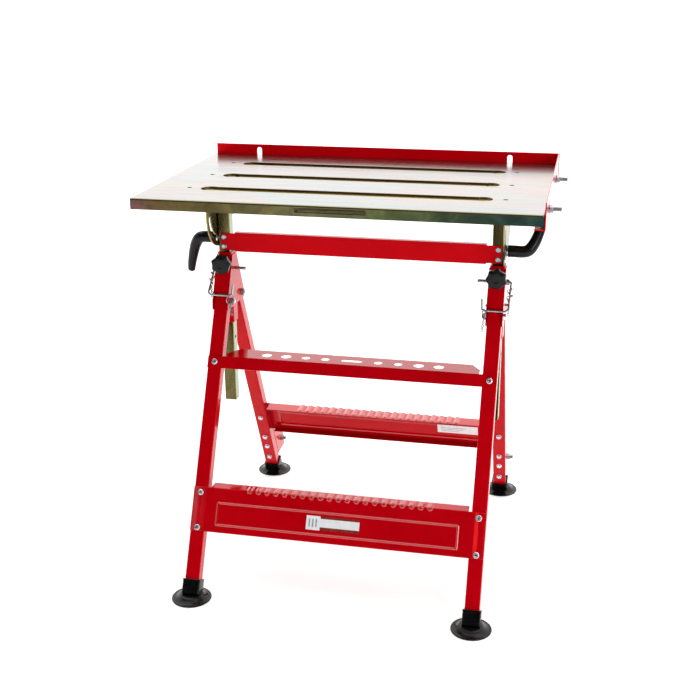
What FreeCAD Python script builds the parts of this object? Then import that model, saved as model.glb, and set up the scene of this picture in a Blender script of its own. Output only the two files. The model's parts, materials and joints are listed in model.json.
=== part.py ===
import FreeCAD, Part
import math
import os

import Sketcher
from FreeCAD import Placement, Rotation, Vector

# Folding welding table: a tilting sheet-steel top with two guide rails, on two posts that slide in
# sleeves, which stand on a front and a rear leg frame that fold. Millimetres, +X right, +Y back, +Z up.

os.makedirs("parts", exist_ok=True)
doc = FreeCAD.newDocument("welding_table")

# ---------------------------------------------------------------- driving dimensions

DIMENSIONS = {
    # tabletop
    "top_width": 762, "top_depth": 508, "top_height": 807, "top_sheet": 2, "apron_depth": 21,
    "top_forward": 8, "top_bend": 3, "slot_span": 524, "slot_width": 32, "keyhole_radius": 18,
    "slot_pitch": 138, "collar_depth": 10, "corner_hole_radius": 4.5, "corner_hole_span": 608,
    "hand_slot_length": 132, "hand_slot_height": 6.5, "hand_slot_level": 797.5, "hand_slot_collar": 30,
    "slot_rim": 2,
    # guide rails
    "rail_sheet": 2, "rail_height": 50, "rail_flange": 20, "rail_top": 829, "rail_drop": 22,
    "rail_gap": 0.2, "rear_rail_left": 378, "rear_rail_right": 384, "rail_slot_width": 11,
    "rail_bolt_level": 795, "rear_rail_bolt_span": 558, "right_rail_bolt_span": 290,
    "rail_bolt_radius": 4,
    # posts, cross rail and tilt
    "side_offset": 283.5, "post_side": 25, "post_wall": 1.8, "post_bottom": 316, "post_top": 757,
    "tilt_level": 734, "tilt_plate_radius": 76, "tilt_slot_radius": 60, "tilt_sheet": 2.5,
    "tilt_bolt_radius": 5, "lock_level": 610, "lock_pitch": 38.1, "lock_pin_radius": 3.3,
    "cross_rail_length": 580, "cross_rail_web": 36, "cross_rail_channel": 40.5, "cross_rail_level": 669,
    "cross_rail_sheet": 2, "cross_rail_flange": 10, "cross_screw_span": 20,
    # sleeves, gussets and pivots
    "sleeve_side": 30, "sleeve_wall": 2, "sleeve_bottom": 494, "sleeve_top": 646, "gusset_sheet": 2,
    "pivot_offset": 36, "pivot_level": 547, "pivot_bolt_radius": 4, "knob_level": 626,
    "knob_radius": 21.5, "knob_screw_radius": 4,
    # leg frames, measured along the leg from its pivot
    "leg_spread": 26.66, "leg_width": 29.4, "leg_depth": 25, "leg_wall": 1.6, "leg_above_pivot": 18,
    "leg_below_pivot": 596, "panel_sheet": 1.5,
    "front_step_top": 388, "front_step_bottom": 478.7, "front_step_tread": 24, "front_step_lip": 14,
    "rear_step_top": 374, "rear_step_bottom": 467, "rear_step_tread": 42, "rear_step_lip": 19,
    "step_screw_high": 399, "step_screw_low": 470, "rib_pitch": 18.4,
    "tool_rail_high": 118, "tool_rail_low": 143, "tool_rail_shelf": 51, "tool_rail_screw": 130,
    "bracket_screw_middle": 505, "bracket_screw_low": 545, "wheel_station": 545, "wheel_offset": 50,
    "wheel_radius": 25, "wheel_width": 20, "foot_radius": 40,
}

sheet = doc.addObject("Spreadsheet::Sheet", "sizes")
for row, (alias, value) in enumerate(DIMENSIONS.items(), start=1):
    sheet.set(f"A{row}", alias)
    sheet.set(f"B{row}", str(value))
    sheet.setAlias(f"B{row}", alias)
doc.recompute()


class Size:
    """A length together with the sheet formula that gives it."""

    def __init__(self, value, formula):
        self.value = float(value)
        self.formula = formula

    def _join(self, sign, other, value):
        return Size(value, f"({self.formula} {sign} {formula_of(other)})")

    def __add__(self, other):
        return self._join("+", other, self.value + value_of(other))

    def __sub__(self, other):
        return self._join("-", other, self.value - value_of(other))

    def __mul__(self, other):
        return self._join("*", other, self.value * value_of(other))

    def __truediv__(self, other):
        return self._join("/", other, self.value / value_of(other))

    def __neg__(self):
        return Size(-self.value, f"(0 - {self.formula})")


def value_of(length):
    return length.value if isinstance(length, Size) else float(length)


def formula_of(length):
    return length.formula if isinstance(length, Size) else repr(float(length))


def size(alias):
    return Size(sheet.get(alias), f"sizes.{alias}")


def bind(owner, path, length):
    """Sets a property from the sheet, or to a plain number."""
    if isinstance(length, Size):
        owner.setExpression(path, length.formula)
    else:
        setattr(owner, path, length)


# ---------------------------------------------------------------- sketch and feature helpers

PLANES = {"floor": "XY_Plane", "front": "XZ_Plane", "side": "YZ_Plane"}


def new_body(name):
    body = doc.addObject("PartDesign::Body", name)
    body.Label = name
    return body


def new_sketch(body, plane, offset=0.0):
    """A sketch on one of the body's planes. On the front plane, sketch x, y are X, Z; on the side
    plane they are Y, Z. offset moves it along the plane's normal: +Z, -Y or +X."""
    sketch = body.newObject("Sketcher::SketchObject", body.Name + "_outline")
    plane_object = next(f for f in body.Origin.OriginFeatures if f.Role == PLANES[plane])
    sketch.AttachmentSupport = [(plane_object, "")]
    sketch.MapMode = "FlatFace"
    sketch.AttachmentOffset = Placement(Vector(0, 0, value_of(offset)), Rotation())
    if isinstance(offset, Size):
        sketch.setExpression(".AttachmentOffset.Base.z", offset.formula)
    return sketch


def flat(point):
    return Vector(value_of(point[0]), value_of(point[1]), 0)


def hold_distance(sketch, kind, axis, geometry, end, length):
    """Holds one coordinate of a sketch point at a length from the sketch's origin."""
    if abs(value_of(length)) < 1e-9:
        sketch.addConstraint(Sketcher.Constraint("PointOnObject", geometry, end, axis))
        return
    index = sketch.addConstraint(Sketcher.Constraint(kind, -1, 1, geometry, end, value_of(length)))
    if isinstance(length, Size):
        sketch.setExpression(f"Constraints[{index}]", length.formula)


def hold_point(sketch, geometry, end, point):
    hold_distance(sketch, "DistanceX", -2, geometry, end, point[0])
    hold_distance(sketch, "DistanceY", -1, geometry, end, point[1])


def hold_radius(sketch, geometry, radius):
    index = sketch.addConstraint(Sketcher.Constraint("Radius", geometry, value_of(radius)))
    if isinstance(radius, Size):
        sketch.setExpression(f"Constraints[{index}]", radius.formula)


def polygon(sketch, points):
    """A closed outline with straight sides."""
    first = sketch.GeometryCount
    count = len(points)
    for start, end in zip(points, points[1:] + points[:1]):
        sketch.addGeometry(Part.LineSegment(flat(start), flat(end)), False)
    for i in range(count):
        sketch.addConstraint(Sketcher.Constraint("Coincident", first + i, 2, first + (i + 1) % count, 1))
    for i, point in enumerate(points):
        hold_point(sketch, first + i, 1, point)


def rectangle(sketch, left, low, right, high):
    polygon(sketch, [(left, low), (right, low), (right, high), (left, high)])


def circle(sketch, centre, radius):
    index = sketch.addGeometry(Part.Circle(flat(centre), Vector(0, 0, 1), value_of(radius)), False)
    hold_point(sketch, index, 3, centre)
    hold_radius(sketch, index, radius)


def stadium(sketch, start, end, radius):
    """A slot with round ends about start and end, which lie along one axis."""
    a, b = flat(start), flat(end)
    r = value_of(radius)
    along = math.atan2(b.y - a.y, b.x - a.x)
    side = Vector(-math.sin(along), math.cos(along), 0) * r
    up = Vector(0, 0, 1)
    first = sketch.GeometryCount
    half = math.pi / 2
    sketch.addGeometry(Part.LineSegment(a - side, b - side), False)
    sketch.addGeometry(Part.ArcOfCircle(Part.Circle(b, up, r), along - half, along + half), False)
    sketch.addGeometry(Part.LineSegment(b + side, a + side), False)
    sketch.addGeometry(Part.ArcOfCircle(Part.Circle(a, up, r), along + half, along + 3 * half), False)
    for i in range(4):
        sketch.addConstraint(Sketcher.Constraint("Tangent", first + i, 2, first + (i + 1) % 4, 1))
    hold_point(sketch, first + 1, 3, end)
    hold_point(sketch, first + 3, 3, start)
    hold_radius(sketch, first + 1, radius)


def keyhole_slot(sketch, y, half_span, half_width, round_radius):
    """A straight slot along X whose two ends open into a larger circle."""
    step = math.sqrt(round_radius**2 - half_width**2)
    opening = math.atan2(half_width, -step)
    up = Vector(0, 0, 1)
    inner = half_span - step
    right, left = Vector(half_span, y, 0), Vector(-half_span, y, 0)
    low, high = y - half_width, y + half_width
    sketch.addGeometry(Part.LineSegment(Vector(-inner, low, 0), Vector(inner, low, 0)), False)
    sketch.addGeometry(Part.ArcOfCircle(Part.Circle(right, up, round_radius), -opening, opening), False)
    sketch.addGeometry(Part.LineSegment(Vector(inner, high, 0), Vector(-inner, high, 0)), False)
    turned = math.pi - opening
    left_end = Part.ArcOfCircle(Part.Circle(left, up, round_radius), turned, 2 * math.pi - turned)
    sketch.addGeometry(left_end, False)


def pad(body, sketch, length, reverse=False, both=False):
    feature = body.newObject("PartDesign::Pad", body.Name + "_pad")
    feature.Profile = sketch
    bind(feature, "Length", length)
    feature.Reversed = reverse
    feature.Midplane = both
    doc.recompute()
    return feature


def pocket(body, sketch, length, reverse=False, both=False):
    """Cuts the sketch out of the body, and makes sure that it did."""
    before = body.Shape.Volume
    feature = body.newObject("PartDesign::Pocket", body.Name + "_pocket")
    feature.Profile = sketch
    bind(feature, "Length", length)
    feature.Reversed = reverse
    feature.Midplane = both
    doc.recompute()
    assert body.Shape.Volume < before - 0.01, f"{body.Name}: a pocket cuts nothing"
    return feature


def round_edges(body, radius, wanted):
    """Fillets every edge of the body's last feature that wanted(edge) picks."""
    tip = body.Tip
    names = [f"Edge{i}" for i, edge in enumerate(tip.Shape.Edges, start=1) if wanted(edge)]
    fillet = body.newObject("PartDesign::Fillet", body.Name + "_fillet")
    fillet.Base = (tip, names)
    bind(fillet, "Radius", radius)
    doc.recompute()
    return fillet


def is_in(edge, left, right, front, back):
    """True for an edge that lies inside a box given by its X and Y limits."""
    box = edge.BoundBox
    return box.XMin > left and box.XMax < right and box.YMin > front and box.YMax < back


def runs_along(edge, axis):
    """True for a straight edge along the given unit axis."""
    if not isinstance(edge.Curve, Part.Line):
        return False
    return abs(abs(edge.Curve.Direction.dot(axis)) - 1) < 1e-6


X, Y, Z = Vector(1, 0, 0), Vector(0, 1, 0), Vector(0, 0, 1)


def turn_to(axis):
    return Rotation(Z, axis)


def primitive(kind, name, at, axis=Z, **lengths):
    """A Part primitive with its sizes bound to the sheet, standing at a point along an axis."""
    item = doc.addObject("Part::" + kind, name)
    for path, length in lengths.items():
        bind(item, path, length)
    item.Placement = Placement(at, turn_to(axis))
    return item


def fuse(name, items):
    joined = doc.addObject("Part::MultiFuse", name)
    joined.Shapes = items
    return joined


def cut(name, base, tool):
    result = doc.addObject("Part::Cut", name)
    result.Base = base
    result.Tool = tool
    return result


def group(name, items):
    """Separate solids that share one node."""
    together = doc.addObject("Part::Compound", name)
    together.Links = items
    together.Label = name
    return together


def hex_bolt(name, at, axis, radius, length, across, head):
    """A hexagon-head bolt. at is under the head, and the shank runs along axis."""
    corner = across / math.sqrt(3)
    hexagon = primitive("Prism", name + "_head", at - axis * head, axis, Circumradius=corner, Height=head)
    hexagon.Polygon = 6
    start = at - axis * (head / 2)
    shank = primitive("Cylinder", name + "_shank", start, axis, Radius=radius, Height=length + head / 2)
    return fuse(name, [hexagon, shank])


def hex_nut(name, at, axis, bore, across, thickness):
    corner = across / math.sqrt(3)
    hexagon = primitive("Prism", name + "_hexagon", at, axis, Circumradius=corner, Height=thickness)
    hexagon.Polygon = 6
    hole = primitive("Cylinder", name + "_bore", at - axis, axis, Radius=bore, Height=thickness + 2)
    return cut(name, hexagon, hole)


def round_screw(name, at, axis, radius, length, head_radius, head):
    """A pan-head screw. at is under the head, and the shank runs along axis."""
    crown_radius = head_radius * 0.6
    cap = primitive("Cone", name + "_head", at, -axis, Radius1=head_radius, Radius2=crown_radius, Height=head)
    start = at - axis * (head / 2)
    shank = primitive("Cylinder", name + "_shank", start, axis, Radius=radius, Height=length + head / 2)
    return fuse(name, [cap, shank])


def washer(name, at, axis, bore, radius, thickness):
    disc = primitive("Cylinder", name + "_disc", at, axis, Radius=radius, Height=thickness)
    hole = primitive("Cylinder", name + "_bore", at - axis, axis, Radius=bore, Height=thickness + 2)
    return cut(name, disc, hole)


SIDES = {"left": -1, "right": 1}
nodes = []


def keep(item, name=None):
    """Registers a finished sub-part."""
    item.Label = name or item.Name
    nodes.append(item)
    return item


# ---------------------------------------------------------------- tabletop and guide rails

top_width, top_depth = size("top_width"), size("top_depth")
top_height, top_sheet, apron_depth = size("top_height"), size("top_sheet"), size("apron_depth")
top_forward = size("top_forward")
top_front, top_back = -(top_depth / 2) - top_forward, top_depth / 2 - top_forward
apron_bottom = top_height - apron_depth
slot_rows = [-(top_forward + size("slot_pitch")), -top_forward, size("slot_pitch") - top_forward]
rail_bolt_level, rail_bolt_radius = size("rail_bolt_level"), size("rail_bolt_radius")
right_rail_reach = size("right_rail_bolt_span") / 2
right_rail_bolts = [-right_rail_reach - top_forward, right_rail_reach - top_forward]
rear_rail_bolts = [-(size("rear_rail_bolt_span") / 2), size("rear_rail_bolt_span") / 2]
BOLT_HOLE_PLAY = 0.2


def make_tabletop():
    body = new_body("tabletop")
    block = new_sketch(body, "floor", apron_bottom)
    rectangle(block, -(top_width / 2), top_front, top_width / 2, top_back)
    pad(body, block, apron_depth)
    level = top_height.value
    round_edges(body, size("top_bend"), lambda e: runs_along(e, Z) or e.BoundBox.ZMin > level - 0.01)
    hollow = new_sketch(body, "floor", apron_bottom)
    inner = top_width / 2 - top_sheet
    rectangle(hollow, -inner, top_front + top_sheet, inner, top_back - top_sheet)
    pocket(body, hollow, apron_depth - top_sheet, reverse=True)
    half_span, half_width = size("slot_span").value / 2, size("slot_width").value / 2
    end_radius, metal = size("keyhole_radius").value, top_sheet.value
    collars = new_sketch(body, "floor", top_height - top_sheet - size("collar_depth"))
    for row in slot_rows:
        keyhole_slot(collars, row.value, half_span, half_width + metal, end_radius + metal)
    pad(body, collars, size("collar_depth") + 0.5)
    slots = new_sketch(body, "floor", top_height + 1)
    for row in slot_rows:
        keyhole_slot(slots, row.value, half_span, half_width, end_radius)
        circle(slots, (-(size("corner_hole_span") / 2), row), size("corner_hole_radius"))
        circle(slots, (size("corner_hole_span") / 2, row), size("corner_hole_radius"))
    pocket(body, slots, apron_depth)
    round_edges(
        body, size("slot_rim"),
        lambda e: is_in(e, -290, 290, -180, 170) and e.BoundBox.ZMin > level - 0.01,
    )
    reach = (size("hand_slot_length") - size("hand_slot_height")) / 2
    level = size("hand_slot_level")
    hand_collar = new_sketch(body, "front", -top_front - 0.5)
    stadium(hand_collar, (-reach, level), (reach, level), size("hand_slot_height") / 2 + top_sheet)
    pad(body, hand_collar, size("hand_slot_collar"), reverse=True)
    hand_slot = new_sketch(body, "front", -top_front + 1)
    stadium(hand_slot, (-reach, level), (reach, level), size("hand_slot_height") / 2)
    pocket(body, hand_slot, size("hand_slot_collar") + 3)
    front = top_front.value
    round_edges(body, 1.5, lambda e: is_in(e, -70, 70, front - 0.01, front + 0.01))
    rear_holes = new_sketch(body, "front", -top_back - 1)
    for x in rear_rail_bolts:
        circle(rear_holes, (x, rail_bolt_level), rail_bolt_radius + BOLT_HOLE_PLAY)
    pocket(body, rear_holes, top_sheet + 2, reverse=True)
    side_holes = new_sketch(body, "side", top_width / 2 + 1)
    for y in right_rail_bolts:
        circle(side_holes, (y, rail_bolt_level), rail_bolt_radius + BOLT_HOLE_PLAY)
    pocket(body, side_holes, top_sheet + 2)
    return keep(body)


rail_sheet, rail_flange, rail_gap = size("rail_sheet"), size("rail_flange"), size("rail_gap")
rail_top = size("rail_top")
rail_bottom = rail_top - size("rail_height")
rail_slot_radius = size("rail_slot_width") / 2


def rail_slot(sketch, across):
    """The upright slot that lets a guide rail drop on its bolt."""
    highest = rail_bolt_level + size("rail_drop")
    stadium(sketch, (across, rail_bolt_level), (across, highest), rail_slot_radius)


def make_rear_guide_rail():
    body = new_body("rear_guide_rail")
    inner = top_back + rail_gap
    outer = inner + rail_sheet
    profile = new_sketch(body, "side", -size("rear_rail_left"))
    lip = rail_bottom + rail_sheet
    corners = [(outer - rail_flange, rail_bottom), (outer, rail_bottom), (outer, rail_top)]
    polygon(profile, corners + [(inner, rail_top), (inner, lip), (outer - rail_flange, lip)])
    pad(body, profile, size("rear_rail_left") + size("rear_rail_right"))
    slots = new_sketch(body, "front", -outer - 1)
    for x in rear_rail_bolts:
        rail_slot(slots, x)
    pocket(body, slots, rail_sheet + 2, reverse=True)
    notch = new_sketch(body, "floor", rail_bottom + rail_sheet + 1)
    rectangle(notch, top_width / 2 - 0.5, outer - rail_flange - 1, size("rear_rail_right") + 1, inner)
    pocket(body, notch, rail_sheet + 2)
    return keep(body)


def make_right_guide_rail():
    body = new_body("right_guide_rail")
    inner = top_width / 2 + rail_gap
    outer = inner + rail_sheet
    profile = new_sketch(body, "front", -top_front)
    lip = rail_bottom + rail_sheet
    corners = [(outer - rail_flange, rail_bottom), (outer, rail_bottom), (outer, rail_top)]
    polygon(profile, corners + [(inner, rail_top), (inner, lip), (outer - rail_flange, lip)])
    pad(body, profile, top_depth - 0.5, reverse=True)
    slots = new_sketch(body, "side", outer + 1)
    for y in right_rail_bolts:
        rail_slot(slots, y)
    pocket(body, slots, rail_sheet + 2)
    corner = new_sketch(body, "floor", rail_bottom + rail_sheet + 1)
    rectangle(corner, outer - rail_flange - 1, top_back - rail_flange - 2, inner, top_back + 1)
    pocket(body, corner, rail_sheet + 2)
    return keep(body)


def make_guide_rail_fasteners():
    """Bolts with their heads inside the aprons, and nuts outside the rails."""
    radius = rail_bolt_radius.value
    level = rail_bolt_level.value
    back = (top_back - top_sheet).value
    side = (top_width / 2 - top_sheet).value
    places = [(Vector(x.value, back, level), Y, 12) for x in rear_rail_bolts]
    places += [(Vector(side, y.value, level), X, 27) for y in right_rail_bolts]
    bolts, nuts = [], []
    outward = (top_sheet + rail_gap + rail_sheet).value + 0.3
    for number, (at, axis, length) in enumerate(places, start=1):
        bolts.append(hex_bolt(f"rail_bolt_{number}", at, axis, radius, length, 13.0, 5.0))
        nuts.append(washer(f"rail_washer_{number}", at + axis * outward, axis, radius + 0.1, 8.0, 1.2))
        nuts.append(hex_nut(f"rail_nut_{number}", at + axis * (outward + 1.2), axis, radius + 0.1, 13.0, 6.0))
    keep(group("guide_rail_bolts", bolts))
    keep(group("guide_rail_nuts", nuts))


# ---------------------------------------------------------------- tilt brackets, posts and cross rail

side_offset, post_side, post_wall = size("side_offset"), size("post_side"), size("post_wall")
tilt_level, tilt_bolt_radius = size("tilt_level"), size("tilt_bolt_radius")
tilt_slot_radius, tilt_plate_radius = size("tilt_slot_radius"), size("tilt_plate_radius")
stud_level = tilt_level - tilt_slot_radius
post_outer_face = side_offset + post_side / 2
tilt_face = post_outer_face + 0.5
SLOT_FIRST, SLOT_LAST = 188, 272
SLOT_HALF_WIDTH = 5.4
BRACKET_FLANGE = 14
RUNNING_PLAY = 0.08


def make_tilt_bracket(side, sign):
    """A quadrant plate on the outside of the post, with a curved slot about the tilt bolt."""
    body = new_body(f"{side}_tilt_bracket")
    face = tilt_face if sign > 0 else -(tilt_face + size("tilt_sheet"))
    outline = new_sketch(body, "side", face)
    radius, level = tilt_plate_radius.value, tilt_level.value
    roof = (top_height - top_sheet).value
    centre, up = Vector(0, level, 0), Vector(0, 0, 1)
    outline.addGeometry(Part.ArcOfCircle(Part.Circle(centre, up, radius), math.pi, 2 * math.pi), False)
    outline.addGeometry(Part.LineSegment(Vector(radius, level, 0), Vector(radius, roof, 0)), False)
    outline.addGeometry(Part.LineSegment(Vector(radius, roof, 0), Vector(-radius, roof, 0)), False)
    outline.addGeometry(Part.LineSegment(Vector(-radius, roof, 0), Vector(-radius, level, 0)), False)
    for first, second in ((0, 1), (1, 2), (2, 3)):
        outline.addConstraint(Sketcher.Constraint("Coincident", first, 2, second, 1))
    outline.addConstraint(Sketcher.Constraint("Coincident", 3, 2, 0, 1))
    hold_point(outline, 0, 3, (0, tilt_level))
    hold_radius(outline, 0, tilt_plate_radius)
    hold_point(outline, 1, 2, (tilt_plate_radius, top_height - top_sheet))
    hold_point(outline, 2, 2, (-tilt_plate_radius, top_height - top_sheet))
    pad(body, outline, size("tilt_sheet"))
    slot = new_sketch(body, "side", face - 1)
    first, last = math.radians(SLOT_FIRST), math.radians(SLOT_LAST)
    middle = tilt_slot_radius.value
    ends = [centre + Vector(math.cos(a), math.sin(a), 0) * middle for a in (first, last)]
    slot.addGeometry(Part.ArcOfCircle(Part.Circle(centre, up, middle + SLOT_HALF_WIDTH), first, last), False)
    slot.addGeometry(Part.ArcOfCircle(Part.Circle(ends[1], up, SLOT_HALF_WIDTH), last, last + math.pi), False)
    slot.addGeometry(Part.ArcOfCircle(Part.Circle(centre, up, middle - SLOT_HALF_WIDTH), first, last), False)
    near = Part.ArcOfCircle(Part.Circle(ends[0], up, SLOT_HALF_WIDTH), first + math.pi, first + 2 * math.pi)
    slot.addGeometry(near, False)
    circle(slot, (0, tilt_level), tilt_bolt_radius + RUNNING_PLAY)
    pocket(body, slot, size("tilt_sheet") + 2, reverse=True)
    flange = new_sketch(body, "floor", top_height - top_sheet)
    inner = (face - BRACKET_FLANGE) if sign > 0 else (face + size("tilt_sheet") + BRACKET_FLANGE)
    outer = face if sign > 0 else face + size("tilt_sheet")
    low, high = (inner, outer) if sign > 0 else (outer, inner)
    rectangle(flange, low, -(tilt_plate_radius - 6), high, tilt_plate_radius - 6)
    pad(body, flange, size("tilt_sheet"), reverse=True)
    return keep(body)


def make_post(side, sign):
    """A square tube with a row of lock holes, the clamp stud's hole and the tilt bolt's hole."""
    body = new_body(f"{side}_post")
    centre = side_offset * sign
    half = post_side / 2
    profile = new_sketch(body, "floor", size("post_bottom"))
    rectangle(profile, centre - half, -half, centre + half, half)
    pad(body, profile, size("post_top") - size("post_bottom"))
    round_edges(body, 2.5, lambda e: runs_along(e, Z))
    bore = new_sketch(body, "floor", size("post_bottom"))
    inside = half - post_wall
    rectangle(bore, centre - inside, -inside, centre + inside, inside)
    pocket(body, bore, size("post_top") - size("post_bottom"), reverse=True)
    holes = new_sketch(body, "side", centre)
    for step in range(5):
        circle(holes, (0, size("lock_level") - size("lock_pitch") * step), size("lock_pin_radius") + 0.3)
    circle(holes, (0, stud_level), tilt_bolt_radius + BOLT_HOLE_PLAY)
    circle(holes, (0, tilt_level), tilt_bolt_radius + BOLT_HOLE_PLAY)
    pocket(body, holes, post_side + 2, both=True)
    screws = new_sketch(body, "front", half + 1)
    for level in cross_screw_levels:
        circle(screws, (centre, level), 3.2)
    pocket(body, screws, post_wall + 2)
    return keep(body)


cross_level = size("cross_rail_level")
cross_screw_middle, cross_screw_reach = cross_level - 3.5, size("cross_screw_span") / 2
cross_screw_levels = [cross_screw_middle - cross_screw_reach, cross_screw_middle + cross_screw_reach]
CROSS_TAB = 30


def make_cross_rail():
    """A channel across the front of both posts, with a flat tab at each end."""
    body = new_body("cross_rail")
    web_low, web_high = cross_level - size("cross_rail_web") / 2, cross_level + size("cross_rail_web") / 2
    low, high = cross_level - size("cross_rail_channel") / 2, cross_level + size("cross_rail_channel") / 2
    end = size("cross_rail_length") / 2
    shoulder = end - CROSS_TAB
    face = post_side / 2 + 0.1
    web = new_sketch(body, "front", face)
    right = [(shoulder, low), (shoulder, web_low), (end, web_low)]
    right += [(end, web_high), (shoulder, web_high), (shoulder, high)]
    left = [(-x, z) for x, z in reversed(right)]
    polygon(web, right + left)
    pad(body, web, size("cross_rail_sheet"))
    flanges = new_sketch(body, "front", face)
    rectangle(flanges, -shoulder, high - size("cross_rail_sheet"), shoulder, high)
    rectangle(flanges, -shoulder, low, shoulder, low + size("cross_rail_sheet"))
    pad(body, flanges, size("cross_rail_flange"), reverse=True)
    holes = new_sketch(body, "front", face - 1)
    for sign in SIDES.values():
        for level in cross_screw_levels:
            circle(holes, (side_offset * sign, level), 3.2)
    pocket(body, holes, size("cross_rail_sheet") + 2, reverse=True)
    return keep(body)


def make_cross_rail_screws():
    face = -(post_side / 2 + 0.1 + size("cross_rail_sheet")).value
    screws = []
    for sign in SIDES.values():
        for level in cross_screw_levels:
            at = Vector(side_offset.value * sign, face, level.value)
            screws.append(round_screw(f"cross_screw_{len(screws) + 1}", at, Y, 3.0, 9.0, 6.0, 3.0))
    keep(group("cross_rail_screws", screws))


def make_tilt_fasteners():
    """The bolts that the tabletop tilts on, the clamp studs, and the washers under the levers."""
    radius = tilt_bolt_radius.value
    bolts, nuts, studs, washers = [], [], [], []
    outside = (tilt_face + size("tilt_sheet")).value + 0.3
    inside = (side_offset - post_side / 2).value
    for side, sign in SIDES.items():
        inward = X * -sign
        at = Vector(outside * sign, 0, tilt_level.value)
        bolts.append(hex_bolt(f"{side}_tilt_bolt", at, inward, radius, outside - inside + 9, 17.0, 6.4))
        nut_at = Vector(inside * sign, 0, tilt_level.value)
        nuts.append(hex_nut(f"{side}_tilt_nut", nut_at, inward, radius + 0.1, 17.0, 8.0))
        stud_at = Vector(inside * sign, 0, stud_level.value)
        studs.append(round_screw(f"{side}_clamp_stud", stud_at, -inward, radius, LEVER_STUD, 9.5, 4.0))
        washer_at = Vector(outside * sign, 0, stud_level.value)
        washers.append(washer(f"{side}_clamp_washer", washer_at, -inward, radius + 0.1, 11.0, 2.0))
    keep(group("tilt_pivot_bolts", bolts))
    keep(group("tilt_pivot_nuts", nuts))
    keep(group("clamp_studs", studs))
    keep(group("clamp_washers", washers))


LEVER_STUD = 52.0
# distance out from the washer, distance along the arm, and radius of a clamp lever's grip
LEVER_STATIONS = [(0.5, 0, 12.0), (34, 0, 12.0), (51, 20, 11.5), (61, 48, 10.2), (69, 80, 8.2)]


def make_clamp_lever(side, sign, arm):
    """A cranked grip: a hub along X, then an arm that bends towards the given direction."""
    start = (tilt_face + size("tilt_sheet")).value + 0.3 + 2.0
    root = Vector(start * sign, 0, stud_level.value)
    out = X * sign
    points = [(root + out * reach + arm * along, radius) for reach, along, radius in LEVER_STATIONS]
    pieces = []
    for number, ((a, ra), (b, rb)) in enumerate(zip(points, points[1:]), start=1):
        direction = (b - a).normalize()
        name = f"{side}_lever_{number}"
        length = a.distanceToPoint(b)
        if abs(ra - rb) < 1e-9:
            pieces.append(primitive("Cylinder", name + "_run", a, direction, Radius=ra, Height=length))
        else:
            run = primitive("Cone", name + "_run", a, direction, Radius1=ra, Radius2=rb, Height=length)
            pieces.append(run)
        pieces.append(primitive("Sphere", name + "_knuckle", b, Radius=rb))
    running = tilt_bolt_radius + RUNNING_PLAY
    bore = primitive("Cylinder", f"{side}_lever_bore", root - out, out, Radius=running, Height=24)
    return keep(cut(f"{side}_clamp_lever", fuse(f"{side}_lever_grip", pieces), bore))


# ---------------------------------------------------------------- sleeves, gussets, knobs and pins

sleeve_side, sleeve_wall, gusset_sheet = size("sleeve_side"), size("sleeve_wall"), size("gusset_sheet")
sleeve_bottom, sleeve_top = size("sleeve_bottom"), size("sleeve_top")
lock_level, lock_pin_radius = size("lock_level"), size("lock_pin_radius")
pivot_offset, pivot_level = size("pivot_offset"), size("pivot_level")
pivot_bolt_radius = size("pivot_bolt_radius")
knob_level, knob_screw_radius = size("knob_level"), size("knob_screw_radius")
PIN_PLAY = 0.1


def make_sleeve(side, sign):
    """The square tube that the post slides in."""
    body = new_body(f"{side}_sleeve")
    centre = side_offset * sign
    half = sleeve_side / 2
    profile = new_sketch(body, "floor", sleeve_bottom)
    rectangle(profile, centre - half, -half, centre + half, half)
    pad(body, profile, sleeve_top - sleeve_bottom)
    round_edges(body, 3.0, lambda e: runs_along(e, Z))
    bore = new_sketch(body, "floor", sleeve_bottom)
    inside = half - sleeve_wall
    rectangle(bore, centre - inside, -inside, centre + inside, inside)
    pocket(body, bore, sleeve_top - sleeve_bottom, reverse=True)
    pin_hole = new_sketch(body, "side", centre)
    circle(pin_hole, (0, lock_level), lock_pin_radius + PIN_PLAY)
    pocket(body, pin_hole, sleeve_side + 2, both=True)
    knob_hole = new_sketch(body, "front", half + 1)
    circle(knob_hole, (centre, knob_level), knob_screw_radius + BOLT_HOLE_PLAY)
    pocket(body, knob_hole, sleeve_wall + 2)
    return keep(body)


GUSSET_TOP, GUSSET_BOTTOM = 641, 532


def make_gusset(name, inner_face):
    """A side plate that joins the sleeve and carries both legs' pivots."""
    body = new_body(name)
    outline = new_sketch(body, "side", inner_face)
    corners = [(14, GUSSET_TOP), (56, GUSSET_BOTTOM + 17), (58, GUSSET_BOTTOM)]
    polygon(outline, corners + [(-y, z) for y, z in reversed(corners)])
    circle(outline, (0, lock_level), lock_pin_radius + PIN_PLAY)
    circle(outline, (pivot_offset, pivot_level), pivot_bolt_radius + BOLT_HOLE_PLAY)
    circle(outline, (-pivot_offset, pivot_level), pivot_bolt_radius + BOLT_HOLE_PLAY)
    pad(body, outline, gusset_sheet)
    round_edges(body, 5.0, lambda e: runs_along(e, X) and e.CenterOfMass.z < GUSSET_BOTTOM + 18)
    return keep(body)


def make_gussets(side, sign):
    inner = side_offset - sleeve_side / 2 - gusset_sheet
    outer = side_offset + sleeve_side / 2
    if sign > 0:
        make_gusset(f"{side}_inner_gusset", inner)
        make_gusset(f"{side}_outer_gusset", outer)
    else:
        make_gusset(f"{side}_inner_gusset", -(inner + gusset_sheet))
        make_gusset(f"{side}_outer_gusset", -(outer + gusset_sheet))


PLATE_TOP, PLATE_BOTTOM = 633.0, 568.5


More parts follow.
